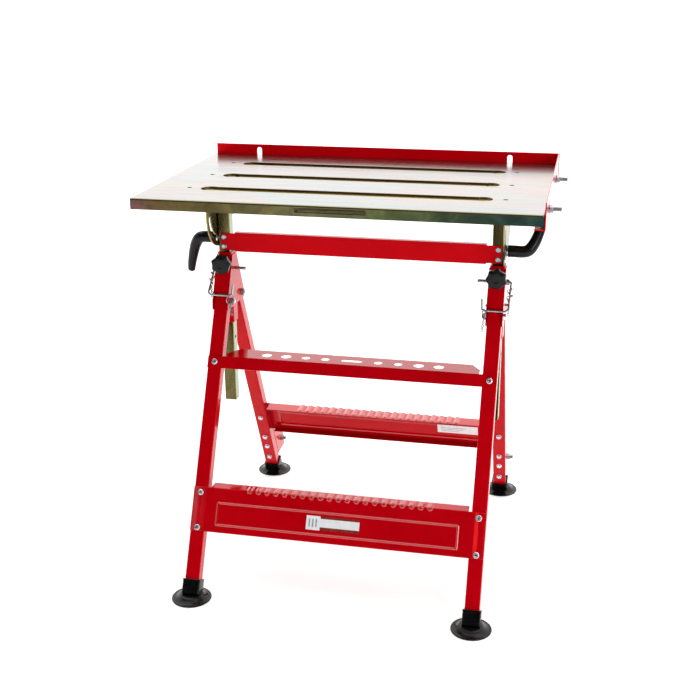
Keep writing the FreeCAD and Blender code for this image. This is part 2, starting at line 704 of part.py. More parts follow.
def make_head_plate(side, sign):
    """The sloping front plate between the gussets, with a window for the knob's nut."""
    body = new_body(f"{side}_head_plate")
    slope = 42 / (GUSSET_TOP - GUSSET_BOTTOM - 17)
    width = (sleeve_side - 0.2).value
    section = new_sketch(body, "side", side_offset * sign - width / 2)
    thick = gusset_sheet.value * math.hypot(1, slope)
    fronts = [-14.3 - slope * (GUSSET_TOP - z) for z in (PLATE_TOP, PLATE_BOTTOM)]
    upper = [(fronts[0], PLATE_TOP), (fronts[0] + thick, PLATE_TOP)]
    polygon(section, upper + [(fronts[1] + thick, PLATE_BOTTOM), (fronts[1], PLATE_BOTTOM)])
    pad(body, section, width)
    window = new_sketch(body, "front", 60.0)
    circle(window, (side_offset * sign, knob_level), 9.0)
    pocket(body, window, 60.0)
    return keep(body)


KNOB_BOSS = 6.0
KNOB_GAP = 1.0
KNOB_HUB = 9.5
KNOB_THICKNESS = 16.0
LOBES = 7


def make_knob_weld_nuts():
    """The nuts on the sleeves' fronts that the knob screws run in."""
    face = -(sleeve_side / 2).value
    bore = knob_screw_radius.value + RUNNING_PLAY
    nuts = []
    for side, sign in SIDES.items():
        at = Vector(side_offset.value * sign, face, knob_level.value)
        nuts.append(hex_nut(f"{side}_weld_nut", at, -Y, bore, 14.0, KNOB_BOSS))
    keep(group("knob_weld_nuts", nuts))


def make_star_knob(side, sign):
    """A seven-lobed grip with scallops between the lobes."""
    body = new_body(f"{side}_star_knob")
    hub_back = sleeve_side / 2 + KNOB_BOSS + KNOB_GAP
    back = hub_back + KNOB_HUB
    disc = new_sketch(body, "front", back)
    circle(disc, (0, 0), size("knob_radius"))
    pad(body, disc, KNOB_THICKNESS)
    scallop = new_sketch(body, "front", back - 1)
    reach = (size("knob_radius") + 5.5).value
    circle(scallop, (0, reach), 8.5)
    bite = pocket(body, scallop, KNOB_THICKNESS + 2, reverse=True)
    ring = body.newObject("PartDesign::PolarPattern", body.Name + "_lobes")
    ring.Originals = [bite]
    ring.Axis = (scallop, ["N_Axis"])
    ring.Angle = 360
    ring.Occurrences = LOBES
    body.Tip = ring
    doc.recompute()
    hub = new_sketch(body, "front", hub_back)
    circle(hub, (0, 0), 8.0)
    pad(body, hub, KNOB_HUB + 1)
    bore = new_sketch(body, "front", hub_back - 1)
    circle(bore, (0, 0), knob_screw_radius)
    pocket(body, bore, 21.0, reverse=True)
    body.Placement = Placement(Vector(side_offset.value * sign, 0, knob_level.value), Rotation())
    return keep(body)


def make_knob_screw(side, sign):
    """The clamping screw, from inside the knob to just short of the post."""
    front = -(sleeve_side / 2).value - KNOB_BOSS - KNOB_GAP - 20.0
    tip = -(post_side / 2).value - 0.3
    at = Vector(side_offset.value * sign, front, knob_level.value)
    screw = primitive("Cylinder", f"{side}_knob_screw", at, Y, Radius=knob_screw_radius, Height=tip - front)
    return keep(screw)


PIN_TIP = 243.0
PIN_HEAD_RADIUS = 6.0
PIN_HEAD_LENGTH = 6.0
BAIL_WIRE = 2.4


def make_lock_pin(side, sign):
    """The lock pin: a shank through the sleeve, and a head with a bore for the bail.

    The shank is left out where the post slides, so that the post is free to move.
    """
    inner_end = (side_offset - post_side / 2).value - 0.8
    outer_start = (side_offset + post_side / 2).value + 0.8
    head_start = pin_head_start()
    level = lock_level.value
    out = X * sign
    radius = lock_pin_radius

    def rod(part, start, rod_radius, length):
        at = Vector(start * sign, 0, level)
        return primitive("Cylinder", f"{side}_pin_{part}", at, out, Radius=rod_radius, Height=length)

    tip = rod("tip", PIN_TIP, radius, inner_end - PIN_TIP)
    root = rod("root", outer_start, radius, head_start - outer_start + 1)
    head = rod("head", head_start, PIN_HEAD_RADIUS, PIN_HEAD_LENGTH)
    bore = rod("bore", head_start + 2, BAIL_WIRE + RUNNING_PLAY, PIN_HEAD_LENGTH)
    shank = cut(f"{side}_pin_outer", fuse(f"{side}_pin_blank", [root, head]), bore)
    return keep(group(f"{side}_lock_pin", [shank, tip]))


def wire(name, points, radius, bends):
    """A bent round wire through points, with an arc of the given radius at each corner."""
    edges = []
    here = points[0]
    for before, corner, after, bend in zip(points, points[1:], points[2:], bends):
        back, on = (before - corner).normalize(), (after - corner).normalize()
        half_turn = (math.pi - back.getAngle(on)) / 2
        set_back = bend * math.tan(half_turn)
        start, end = corner + back * set_back, corner + on * set_back
        to_centre = (back + on).normalize()
        middle = corner + to_centre * (bend / math.cos(half_turn) - bend)
        edges.append(Part.LineSegment(here, start).toShape())
        edges.append(Part.Arc(start, middle, end).toShape())
        here = end
    edges.append(Part.LineSegment(here, points[-1]).toShape())
    path = Part.Wire(edges)
    tangent = (points[1] - points[0]).normalize()
    section = Part.Wire([Part.makeCircle(radius, points[0], tangent)])
    item = doc.addObject("Part::Feature", name)
    item.Shape = path.makePipeShell([section], True, False)
    return item


BAIL_BAR = Vector(0, -52.5, -46)


def pin_head_start():
    return (side_offset + sleeve_side / 2 + gusset_sheet).value + 0.5


def bail_arm():
    """How far out the bail's outer arm is."""
    return pin_head_start() + PIN_HEAD_LENGTH + BAIL_WIRE + 1.5


def make_pin_bail(side, sign):
    """The sprung wire that swings from the pin's head across the front of the leg."""
    level = lock_level.value
    arm = bail_arm()
    bar_y, bar_z = BAIL_BAR.y, level + BAIL_BAR.z
    route = [(pin_head_start() + 2.3, 0, level), (arm, 0, level), (arm, bar_y, bar_z), (259, bar_y, bar_z)]
    route.append((257.5, bar_y + 7, bar_z + 22))
    points = [Vector(x * sign, y, z) for x, y, z in route]
    return keep(wire(f"{side}_pin_bail", points, BAIL_WIRE, [3.3, 9.0, 4.5]))


CHAIN_LINKS = 14
LINK_RADIUS = 2.9
LINK_WIRE = 0.6


def make_pin_chain(side, sign):
    """The lanyard chain: a link round the bail's arm, then links that hang from it.

    Each link is a quarter turn on from the one above.
    """
    arm = bail_arm() * sign
    along = Vector(BAIL_BAR).normalize()
    across = Vector(0, -along.z, along.y)
    eye = LINK_RADIUS + 1.1
    first = Vector(arm, 0, lock_level.value) + along * 32 + across * (eye - LINK_WIRE - BAIL_WIRE - 0.1)
    links = [primitive("Torus", f"{side}_link_1", first, along, Radius1=eye, Radius2=LINK_WIRE)]
    hang = first + across * (eye - 2 * LINK_WIRE - 0.1 + LINK_RADIUS)
    pitch = 2 * (LINK_RADIUS - LINK_WIRE) - 0.25
    for number in range(CHAIN_LINKS - 1):
        facing = Y if number % 2 else X
        at = hang - Z * (pitch * number)
        name = f"{side}_link_{number + 2}"
        links.append(primitive("Torus", name, at, facing, Radius1=LINK_RADIUS, Radius2=LINK_WIRE))
    return keep(group(f"{side}_pin_chain", links))


def make_leg_pivots():
    """The four bolts that the legs swing on, with their nuts on the inside."""
    radius = pivot_bolt_radius.value
    outside = (side_offset + sleeve_side / 2 + gusset_sheet).value
    inside = (side_offset - sleeve_side / 2 - gusset_sheet).value
    bolts, nuts = [], []
    for side, sign in SIDES.items():
        for place, y in (("front", -pivot_offset.value), ("rear", pivot_offset.value)):
            at = Vector(outside * sign, y, pivot_level.value)
            inward = X * -sign
            length = outside - inside + 9
            bolts.append(hex_bolt(f"{side}_{place}_pivot", at, inward, radius, length, 13.0, 5.3))
            nut_at = Vector(inside * sign, y, pivot_level.value)
            nuts.append(hex_nut(f"{side}_{place}_nut", nut_at, inward, radius + 0.1, 13.0, 6.5))
    keep(group("leg_pivot_bolts", bolts))
    keep(group("leg_pivot_nuts", nuts))


# ---------------------------------------------------------------- leg frames

# Each frame is drawn upright, hanging from its pivot axis, with its outer face towards -Y for the
# front frame and +Y for the rear one, then turned by the spread angle and moved to the pivot.

leg_width, leg_depth, leg_wall = size("leg_width"), size("leg_depth"), size("leg_wall")
panel_sheet = size("panel_sheet")
SPREAD = math.radians(size("leg_spread").value)
FRAMES = {"front": -1, "rear": 1}


def frame_placement(facing):
    base = Vector(0, pivot_offset.value * facing, pivot_level.value)
    return Placement(base, Rotation(X, size("leg_spread").value * facing))


def make_leg(name, sign, facing, screw_stations):
    """A rectangular tube, with a running hole for its pivot bolt and holes for its screws."""
    body = new_body(name)
    centre = side_offset * sign
    half_width, half_depth = leg_width / 2, leg_depth / 2
    length = size("leg_below_pivot") + size("leg_above_pivot")
    profile = new_sketch(body, "floor", -size("leg_below_pivot"))
    rectangle(profile, centre - half_width, -half_depth, centre + half_width, half_depth)
    pad(body, profile, length)
    round_edges(body, 2.5, lambda e: runs_along(e, Z))
    bore = new_sketch(body, "floor", -size("leg_below_pivot"))
    wide, deep = half_width - leg_wall, half_depth - leg_wall
    rectangle(bore, centre - wide, -deep, centre + wide, deep)
    pocket(body, bore, length, reverse=True)
    pivot = new_sketch(body, "side", centre)
    circle(pivot, (0, 0), pivot_bolt_radius + RUNNING_PLAY)
    pocket(body, pivot, leg_width + 2, both=True)
    screws = new_sketch(body, "front", 0.0)
    for station in screw_stations:
        circle(screws, (centre, -station), 3.2)
    pocket(body, screws, leg_depth + 2, both=True)
    body.Placement = frame_placement(facing)
    return keep(body)


def tread_drop(depth):
    """How far a level tread of this depth climbs along the leaning leg."""
    return depth * math.sin(SPREAD), depth * math.cos(SPREAD)


def level_sketch(body, name, offset, start, facing):
    """A sketch in a level plane of a leaning frame: its x runs along X, and its y runs inward from start."""
    lean = Rotation(X, size("leg_spread").value * -facing)
    if facing > 0:
        lean = lean * Rotation(Z, 180)
    sketch = body.newObject("Sketcher::SketchObject", name)
    floor = next(f for f in body.Origin.OriginFeatures if f.Role == "XY_Plane")
    sketch.AttachmentSupport = [(floor, "")]
    sketch.MapMode = "FlatFace"
    sketch.AttachmentOffset = Placement(start + lean.multVec(Vector(0, 0, offset)), lean)
    return sketch


def make_step_panel(name, facing, screw_stations):
    """A pressed panel across both legs: a web on their outer faces, a level ribbed tread and a lower lip."""
    body = new_body(name)
    metal = panel_sheet.value
    face = leg_depth.value / 2 + 0.1
    outer = face + metal
    which = "front_step_" if facing < 0 else "rear_step_"
    top, bottom = -size(which + "top").value, -size(which + "bottom").value
    tread, lip_depth = size(which + "tread").value, size(which + "lip").value
    rise, inward = tread_drop(tread)
    lip_rise, lip_inward = tread_drop(lip_depth)
    end = leg_width / 2 + side_offset
    web = new_sketch(body, "side", -end)
    rectangle_points = [(face, top), (outer, top), (outer, bottom), (face, bottom)]
    polygon(web, [(y * facing, z) for y, z in rectangle_points])
    pad(body, web, end * 2)
    folds = new_sketch(body, "side", -TREAD_HALF)
    down = Vector(-math.sin(SPREAD), -math.cos(SPREAD), 0) * metal
    start = Vector(outer, top, 0)
    along = Vector(-inward, rise, 0)
    lip_start = Vector(outer, bottom, 0)
    lip_along = Vector(-lip_inward, lip_rise, 0)
    lip = [lip_start, lip_start + lip_along, lip_start + lip_along - down, lip_start - down]
    for outline in ([start, start + along, start + along + down, start + down], lip):
        polygon(folds, [(p.x * facing, p.y) for p in outline])
    pad(body, folds, 2 * TREAD_HALF)
    ribs = level_sketch(body, name + "_ribs", -0.2, Vector(0, outer * facing, top), facing)
    for number in range(RIBS):
        x = RIB_MIDDLE + size("rib_pitch").value * (number - (RIBS - 1) / 2)
        stadium(ribs, (x * -facing, 4.0), (x * -facing, tread - 5.0), 3.4)
    pad(body, ribs, RIB_HEIGHT + 0.2)
    bead = new_sketch(body, "front", -(outer - 0.2) * facing)
    low, high = bottom + 15, top - 31
    rectangle(bead, -246, low, 246, high)
    rectangle(bead, -242, low + 4, 242, high - 4)
    pad(body, bead, RIB_HEIGHT + 0.2, reverse=facing > 0)
    holes = new_sketch(body, "front", 0.0)
    for sign in SIDES.values():
        for station in screw_stations:
            circle(holes, (side_offset * sign, -station), 3.2)
    pocket(body, holes, 2 * outer + 2, both=True)
    body.Placement = frame_placement(facing)
    return keep(body)


RIBS = 21
RIB_MIDDLE = 3.0
RIB_HEIGHT = 1.2
TREAD_HALF = 262.0
TOOL_HOLES = [(55, 8.5), (96, 8.5), (138, 10.5), (179, 10.5)]


def make_tool_rail():
    """A rail across the front legs, whose level shelf is pierced for hand tools."""
    body = new_body("tool_rail")
    metal = panel_sheet.value
    face = leg_depth.value / 2 + 0.1
    outer = face + metal
    top, bottom = -size("tool_rail_high").value, -size("tool_rail_low").value
    end = leg_width / 2 + side_offset
    web = new_sketch(body, "side", -end)
    polygon(web, [(-face, top), (-outer, top), (-outer, bottom), (-face, bottom)])
    pad(body, web, end * 2)
    shelf_depth = size("tool_rail_shelf").value
    rise, inward = tread_drop(shelf_depth)
    normal = Vector(-math.sin(SPREAD), -math.cos(SPREAD), 0) * metal
    start = Vector(-outer, top, 0)
    along = Vector(inward, rise, 0)
    shelf = new_sketch(body, "side", -TREAD_HALF)
    polygon(shelf, [(p.x, p.y) for p in (start, start + along, start + along + normal, start + normal)])
    pad(body, shelf, 2 * TREAD_HALF)
    screws = new_sketch(body, "front", 0.0)
    for sign in SIDES.values():
        circle(screws, (side_offset * sign, -size("tool_rail_screw")), 3.2)
    pocket(body, screws, 2 * outer + 2, both=True)
    holes = level_sketch(body, "tool_rail_holes", 0.0, Vector(0, -outer, top), -1)
    middle = 24.0
    for x, radius in TOOL_HOLES:
        circle(holes, (x, middle), radius)
        circle(holes, (-x, middle), radius)
    stadium(holes, (-15.5, middle), (15.5, middle), 6.0)
    for sign in SIDES.values():
        chamfer = [(TREAD_HALF + 1, shelf_depth * 0.4), (TREAD_HALF + 1, shelf_depth + 1)]
        chamfer.append((TREAD_HALF - 19, shelf_depth + 1))
        polygon(holes, [(x * sign, y) for x, y in chamfer])
    pocket(body, holes, 6.0, both=True)
    body.Placement = frame_placement(-1)
    return keep(body)


def frame_point(facing, x, outward, station):
    """A point on a leg frame, from its distance outward and its distance along the leg."""
    return frame_placement(facing).multVec(Vector(x, outward * facing, -station))


def frame_direction(facing, outward):
    return frame_placement(facing).Rotation.multVec(Vector(0, outward * facing, 0))


SCREW_HEAD = 3.0


def make_front_frame_screws():
    face = leg_depth.value / 2 + 0.1 + panel_sheet.value
    screws = []
    for sign in SIDES.values():
        for station in ("tool_rail_screw", "step_screw_high", "step_screw_low"):
            at = frame_point(-1, side_offset.value * sign, face, size(station).value)
            name = f"front_screw_{len(screws) + 1}"
            screws.append(round_screw(name, at, frame_direction(-1, -1), 3.0, 24.0, 6.2, SCREW_HEAD))
    keep(group("front_frame_screws", screws))


def make_rear_frame_screws():
    """Screws whose heads are on the legs' inner faces, through the legs into panel and bracket."""
    face = leg_depth.value / 2
    screws = []
    for sign in SIDES.values():
        for station in ("step_screw_high", "step_screw_low", "bracket_screw_middle", "bracket_screw_low"):
            at = frame_point(1, side_offset.value * sign, -face, size(station).value)
            name = f"rear_screw_{len(screws) + 1}"
            screws.append(round_screw(name, at, frame_direction(1, 1), 3.0, 31.0, 6.4, SCREW_HEAD + 1))
    keep(group("rear_frame_screws", screws))


FOOT_DISC = 10.0
FOOT_EDGE = 2.5
SOCKET_TOP = 34.0


def make_foot(name, sign, facing):
    """A moulded foot: a round pad on the floor and a square socket round the leg's end."""
    lean = Rotation(X, size("leg_spread").value * facing)
    reach = pivot_level.value * math.tan(SPREAD) + pivot_offset.value
    centre = Vector(side_offset.value * sign, reach * facing, 0)
    pad_disc = primitive("Cylinder", name + "_pad", centre, Z, Radius=size("foot_radius"), Height=FOOT_EDGE)
    dome = primitive(
        "Cone", name + "_dome", centre + Z * FOOT_EDGE, Z,
        Radius1=size("foot_radius"), Radius2=24.0, Height=FOOT_DISC - FOOT_EDGE,
    )
    wall = 3.0
    gap = 0.2
    width, depth = leg_width.value + 2 * (wall + gap), leg_depth.value + 2 * (wall + gap)
    height = SOCKET_TOP / math.cos(SPREAD)
    socket = doc.addObject("Part::Box", name + "_socket")
    socket.Length, socket.Width, socket.Height = width, depth, height
    socket.Placement = Placement(centre + lean.multVec(Vector(-width / 2, -depth / 2, 0)), lean)
    inner_width, inner_depth = leg_width.value + 2 * gap, leg_depth.value + 2 * gap
    bore = doc.addObject("Part::Box", name + "_bore")
    bore.Length, bore.Width, bore.Height = inner_width, inner_depth, height + 20
    leg_end = (pivot_level.value / math.cos(SPREAD)) - size("leg_below_pivot").value
    bore_base = lean.multVec(Vector(-inner_width / 2, -inner_depth / 2, leg_end - gap))
    bore.Placement = Placement(centre + bore_base, lean)
    below = doc.addObject("Part::Box", name + "_below")
    below.Length, below.Width, below.Height = 120, 120, 60
    below.Placement = Placement(centre + Vector(-60, -60, -60), Rotation())
    blank = fuse(name + "_blank", [pad_disc, dome, socket])
    return keep(cut(name, blank, fuse(name + "_hollow", [bore, below])), name)


wheel_centre_out, wheel_station = size("wheel_offset"), size("wheel_station")
BRACKET_METAL = 2.0


def make_wheel_bracket(side, sign):
    """A channel on the back of the rear leg that holds the wheel between its cheeks."""
    body = new_body(f"{side}_wheel_bracket")
    face = leg_depth / 2 + 0.1
    half = leg_width.value / 2
    centre = side_offset.value * sign
    web = new_sketch(body, "side", centre - half)
    high, low = -469.0, -560.0
    polygon(web, [(face, low), (face + BRACKET_METAL, low), (face + BRACKET_METAL, high), (face, high)])
    pad(body, web, 2 * half)
    for edge in (centre - half, centre + half - BRACKET_METAL):
        cheek = new_sketch(body, "side", edge)
        outline = [(face, low), (60, -580), (69, -562), (62, -515), (face, high)]
        polygon(cheek, outline)
        circle(cheek, (wheel_centre_out, -wheel_station), 4.2)
        pad(body, cheek, BRACKET_METAL)
    holes = new_sketch(body, "front", -face - BRACKET_METAL - 1)
    for station in bracket_screws:
        circle(holes, (centre, -station), 3.2)
    pocket(body, holes, BRACKET_METAL + 2, reverse=True)
    body.Placement = frame_placement(1)
    return keep(body)


def make_wheel(side, sign):
    """A solid wheel with a rounded tread and a running bore."""
    at = frame_point(1, side_offset.value * sign, wheel_centre_out.value, wheel_station.value)
    body = new_body(f"{side}_wheel")
    half, radius = size("wheel_width") / 2, size("wheel_radius")
    section = new_sketch(body, "front", 0.0)
    bore = 4.0 + RUNNING_PLAY
    crown = 4
    right = [(half, 0 + bore), (half, radius - crown), (half - crown, radius)]
    left = [(-x, z) for x, z in reversed(right)]
    polygon(section, right + left)
    spin = body.newObject("PartDesign::Revolution", body.Name + "_revolution")
    spin.Profile = section
    spin.ReferenceAxis = (section, ["H_Axis"])
    spin.Angle = 360
    doc.recompute()
    body.Placement = Placement(at, Rotation())
    return keep(body)


def make_wheel_axles():
    """A bolt through each bracket, with its head on the left and its nut on the right."""
    axles = []
    for side, sign in SIDES.items():
        left_face = side_offset.value * sign - leg_width.value / 2
        at = frame_point(1, left_face, wheel_centre_out.value, wheel_station.value)
        axles.append(hex_bolt(f"{side}_axle_bolt", at, X, 4.0, leg_width.value + 12, 13.0, 5.3))
        axles.append(hex_nut(f"{side}_axle_nut", at + X * leg_width.value, X, 4.1, 13.0, 6.5))
    keep(group("wheel_axles", axles))


def make_label(name, facing, left, width, station, height, outward, thickness):
    """A plain label on a panel's web. outward is the web face's distance from the leg's axis."""
    label = doc.addObject("Part::Box", name)
    label.Length, label.Width, label.Height = width, thickness, height
    tilt = frame_placement(facing)
    low = outward if facing > 0 else -outward - thickness
    label.Placement = tilt * Placement(Vector(left, low, -station), Rotation())
    return keep(label)


def make_labels():
    web_front = leg_depth.value / 2 + 0.1 + panel_sheet.value
    make_label("front_label", -1, -58.0, 108.0, 452.5, 28.0, web_front + 0.05, 0.4)
    web_inner = leg_depth.value / 2 + 0.1
    make_label("rear_label", 1, 138.0, 94.0, 429.5, 27.0, web_inner - 0.45, 0.4)


# ---------------------------------------------------------------- build

make_tabletop()
make_rear_guide_rail()
make_right_guide_rail()
make_guide_rail_fasteners()
for side, sign in SIDES.items():
    make_tilt_bracket(side, sign)
    make_post(side, sign)
    make_sleeve(side, sign)
    make_gussets(side, sign)
    make_head_plate(side, sign)
    make_star_knob(side, sign)
    make_knob_screw(side, sign)
    make_lock_pin(side, sign)
    make_pin_bail(side, sign)
    make_pin_chain(side, sign)
make_cross_rail()
make_cross_rail_screws()
make_tilt_fasteners()
# both levers lean back: the left one hangs clear of the lock pin, the right one stands clear of the rail
left_lean, right_lean = math.radians(15), math.radians(24)
make_clamp_lever("left", -1, Vector(0, math.sin(left_lean), -math.cos(left_lean)))
make_clamp_lever("right", 1, Vector(0, math.sin(right_lean), math.cos(right_lean)))
make_knob_weld_nuts()
make_leg_pivots()
high_screw, low_screw = size("step_screw_high"), size("step_screw_low")
bracket_screws = [low_screw, size("bracket_screw_middle"), size("bracket_screw_low")]
for side, sign in SIDES.items():
    make_leg(f"{side}_front_leg", sign, -1, [size("tool_rail_screw"), high_screw, low_screw])
    make_leg(f"{side}_rear_leg", sign, 1, [high_screw] + bracket_screws)
    make_foot(f"{side}_front_foot", sign, -1)
    make_foot(f"{side}_rear_foot", sign, 1)
    make_wheel_bracket(side, sign)
    make_wheel(side, sign)
make_step_panel("front_step_panel", -1, [high_screw, low_screw])
make_step_panel("rear_step_panel", 1, [high_screw])
make_tool_rail()
make_front_frame_screws()
make_rear_frame_screws()
make_wheel_axles()
make_labels()
doc.recompute()

# ---------------------------------------------------------------- origin, checks and export

# The origin is under the middle of the whole table's box, on the floor.
whole = FreeCAD.BoundBox()
for node in nodes:
    whole.add(node.Shape.optimalBoundingBox(False, False))
shift = Placement(Vector(-whole.Center.x, -whole.Center.y, 0), Rotation())
for node in nodes:
    node.Placement = shift * node.Placement
doc.recompute()

for item in doc.Objects:
    faults = {"Invalid", "Error"} & set(item.State)
    assert not faults, f"{item.Label} failed: {item.State}"
labels = [node.Label for node in nodes]
assert len(set(labels)) == len(labels) <= 60, "labels repeat, or there are too many"
for node in nodes:
    shape = node.Shape
    assert not shape.isNull() and shape.isValid() and shape.Solids, f"{node.Label} has no valid solid"
    shape.exportStep(f"parts/{node.Label}.step")
print(f"origin shift {shift.Base.x:.4f} {shift.Base.y:.4f}; box {whole}; {len(nodes)} parts")
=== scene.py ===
import json
import math

import bmesh
import bpy
from mathutils import Matrix, Vector


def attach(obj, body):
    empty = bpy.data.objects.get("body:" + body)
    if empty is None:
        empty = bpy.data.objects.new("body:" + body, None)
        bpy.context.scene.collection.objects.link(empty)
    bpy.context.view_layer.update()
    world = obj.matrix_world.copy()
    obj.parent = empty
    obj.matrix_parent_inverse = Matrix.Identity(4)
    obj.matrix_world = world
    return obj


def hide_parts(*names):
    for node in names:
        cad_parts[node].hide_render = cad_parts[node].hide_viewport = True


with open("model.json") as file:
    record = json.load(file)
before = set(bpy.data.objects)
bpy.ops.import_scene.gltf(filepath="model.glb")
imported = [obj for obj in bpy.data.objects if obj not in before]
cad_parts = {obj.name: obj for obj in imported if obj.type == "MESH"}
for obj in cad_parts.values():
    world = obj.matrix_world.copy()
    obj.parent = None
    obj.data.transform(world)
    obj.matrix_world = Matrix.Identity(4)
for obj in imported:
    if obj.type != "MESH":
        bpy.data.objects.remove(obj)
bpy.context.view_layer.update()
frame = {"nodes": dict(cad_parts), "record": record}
nodes = frame["nodes"]
MM = 0.001
SHIFT = -0.0125  # metres along X from the middle of the whole table's box to the middle of the posts
X, Y, Z = Vector((1, 0, 0)), Vector((0, 1, 0)), Vector((0, 0, 1))
SIDES = {"left": -1, "right": 1}

# ---------------------------------------------------------------- camera

# found by fitting a perspective view to the tabletop's corners, the legs and the feet
LENS, SENSOR_WIDTH = 58.90, 36.0
AZIMUTH, ELEVATION, ROLL = 12.251, 19.292, -0.264
CAMERA_PLACE = (0.46264 + SHIFT, -2.22371, 1.24027)

camera_data = bpy.data.cameras.new("camera")
camera_data.sensor_width = SENSOR_WIDTH
camera_data.lens = LENS
camera = bpy.data.objects.new("camera", camera_data)
bpy.context.scene.collection.objects.link(camera)
bpy.context.scene.camera = camera
azimuth, elevation, roll = math.radians(AZIMUTH), math.radians(ELEVATION), math.radians(ROLL)
ahead = Vector((-math.sin(azimuth) * math.cos(elevation),
                math.cos(azimuth) * math.cos(elevation),
                -math.sin(elevation)))
level_right = Vector((math.cos(azimuth), math.sin(azimuth), 0))
level_up = level_right.cross(ahead)
right = math.cos(roll) * level_right + math.sin(roll) * level_up
up = -math.sin(roll) * level_right + math.cos(roll) * level_up
place = Matrix((right, up, -ahead)).transposed().to_4x4()
place.translation = Vector(CAMERA_PLACE)
camera.matrix_world = place

# ---------------------------------------------------------------- materials

MIX_FACTOR, MIX_FIRST, MIX_SECOND, MIX_RESULT = 0, 6, 7, 2  # a Mix node's sockets when it mixes colours


class Shader:
    """A node material with short helpers. Constants go straight on the sockets."""

    def __init__(self, name, **settings):
        self.material = bpy.data.materials.new(name)
        self.material.use_nodes = True
        self.tree = self.material.node_tree
        self.shader = self.tree.nodes["Principled BSDF"]
        for socket, value in settings.items():
            self.shader.inputs[socket.replace("_", " ")].default_value = value
        self.place = self.node("ShaderNodeTexCoord").outputs["Object"]

    def node(self, kind, **settings):
        """Adds a node and sets its own settings."""
        item = self.tree.nodes.new(kind)
        for name, value in settings.items():
            setattr(item, name, value)
        return item

    def link(self, source, target):
        self.tree.links.new(source, target)

    def stretched(self, scale):
        """The object's coordinates, scaled differently along each axis."""
        mapping = self.node("ShaderNodeMapping")
        mapping.inputs["Scale"].default_value = scale
        self.link(self.place, mapping.inputs["Vector"])
        return mapping.outputs["Vector"]

    def noise(self, scale, detail=3.0, rough=0.5, distortion=0.0, vector=None):
        """Noise from about 0 to 1, on the object's coordinates unless a vector is given."""
        item = self.node("ShaderNodeTexNoise")
        item.inputs["Scale"].default_value = scale
        item.inputs["Detail"].default_value = detail
        item.inputs["Roughness"].default_value = rough
        item.inputs["Distortion"].default_value = distortion
        self.link(vector or self.place, item.inputs["Vector"])
        return item.outputs["Fac"]

    def ramp(self, value, stops):
        """A colour for each value, between stops of (value, colour)."""
        item = self.node("ShaderNodeValToRGB")
        elements = item.color_ramp.elements
        while len(elements) < len(stops):
            elements.new(0.5)
        for element, (position, colour) in zip(elements, stops):
            element.position = position
            element.color = (*colour, 1.0)
        self.link(value, item.inputs["Fac"])
        return item.outputs["Color"]

    def spread(self, value, low, high, out_low, out_high):
        """Maps low..high to out_low..out_high."""
        item = self.node("ShaderNodeMapRange")
        item.inputs["From Min"].default_value = low
        item.inputs["From Max"].default_value = high
        item.inputs["To Min"].default_value = out_low
        item.inputs["To Max"].default_value = out_high
        self.link(value, item.inputs["Value"])
        return item.outputs["Result"]

    def blend(self, factor, first, second, mode="MIX"):
        """Mixes two colours. Each value is a number, a colour or a socket."""
        item = self.node("ShaderNodeMix", data_type="RGBA", blend_type=mode)
        for number, value in ((MIX_FACTOR, factor), (MIX_FIRST, first), (MIX_SECOND, second)):
            socket = item.inputs[number]
            if isinstance(value, (tuple, float)):
                socket.default_value = (*value, 1.0) if isinstance(value, tuple) else value
            else:
                self.link(value, socket)
        return item.outputs[MIX_RESULT]

    def axis(self, name):
        """One of the object's coordinates."""
        item = self.node("ShaderNodeSeparateXYZ")
        self.link(self.place, item.inputs["Vector"])
        return item.outputs[name]

    def normal(self, name):
        """One component of the face's own normal."""
        item = self.node("ShaderNodeSeparateXYZ")
        self.link(self.node("ShaderNodeNewGeometry").outputs["True Normal"], item.inputs["Vector"])
        return item.outputs[name]

    def math(self, operation, *values):
        """One sum of the Math node. Each value is a number or a socket."""
        item = self.node("ShaderNodeMath", operation=operation)
        for socket, value in zip(item.inputs, values):
            if isinstance(value, (int, float)):
                socket.default_value = value
            else:
                self.link(value, socket)
        return item.outputs[0]

    def bump(self, height, strength, distance, below=None):
        """A bumped normal, on top of another one where that is given."""
        item = self.node("ShaderNodeBump")
        item.inputs["Strength"].default_value = strength
        item.inputs["Distance"].default_value = distance
        self.link(height, item.inputs["Height"])
        if below:
            self.link(below, item.inputs["Normal"])
        return item.outputs["Normal"]

    def set(self, **sources):
        """Links sources to the shader's sockets, with an underscore for each space in a name."""
        for socket, source in sources.items():
            self.link(source, self.shader.inputs[socket.replace("_", " ")])


def red_paint(name, dark, light, rough_low, rough_high, tint=(1.0, 0.04, 0.04, 1.0), level=0.5):
    """Glossy powder coat: a slight mottle, orange peel, and dull rubbed patches."""
    s = Shader(name, IOR=1.54, Specular_Tint=tint, Specular_IOR_Level=level)
    mottle = s.noise(9.0, 4.0, 0.6)
    colour = s.ramp(mottle, [(0.30, dark), (0.70, light)])
    rubbed = s.noise(38.0, 6.0, 0.7, 0.4)
    s.set(Base_Color=colour, Roughness=s.spread(rubbed, 0.42, 0.70, rough_low, rough_high))
    peel = s.noise(520.0, 2.0, 0.5)
    s.set(Normal=s.bump(peel, 0.06, 0.0003, s.bump(s.noise(46.0, 2.0), 0.05, 0.002)))
    return s.material


def zinc(name, dark, light, rough_low, rough_high):
    """Bright zinc plating with a fine crystalline mottle."""
    s = Shader(name, Metallic=1.0)
    colour = s.ramp(s.noise(260.0, 4.0, 0.7), [(0.3, dark), (0.7, light)])
    s.set(Base_Color=colour, Roughness=s.spread(s.noise(420.0, 3.0), 0.35, 0.7, rough_low, rough_high))
    s.set(Normal=s.bump(s.noise(900.0, 2.0), 0.12, 0.0002))
    return s.material


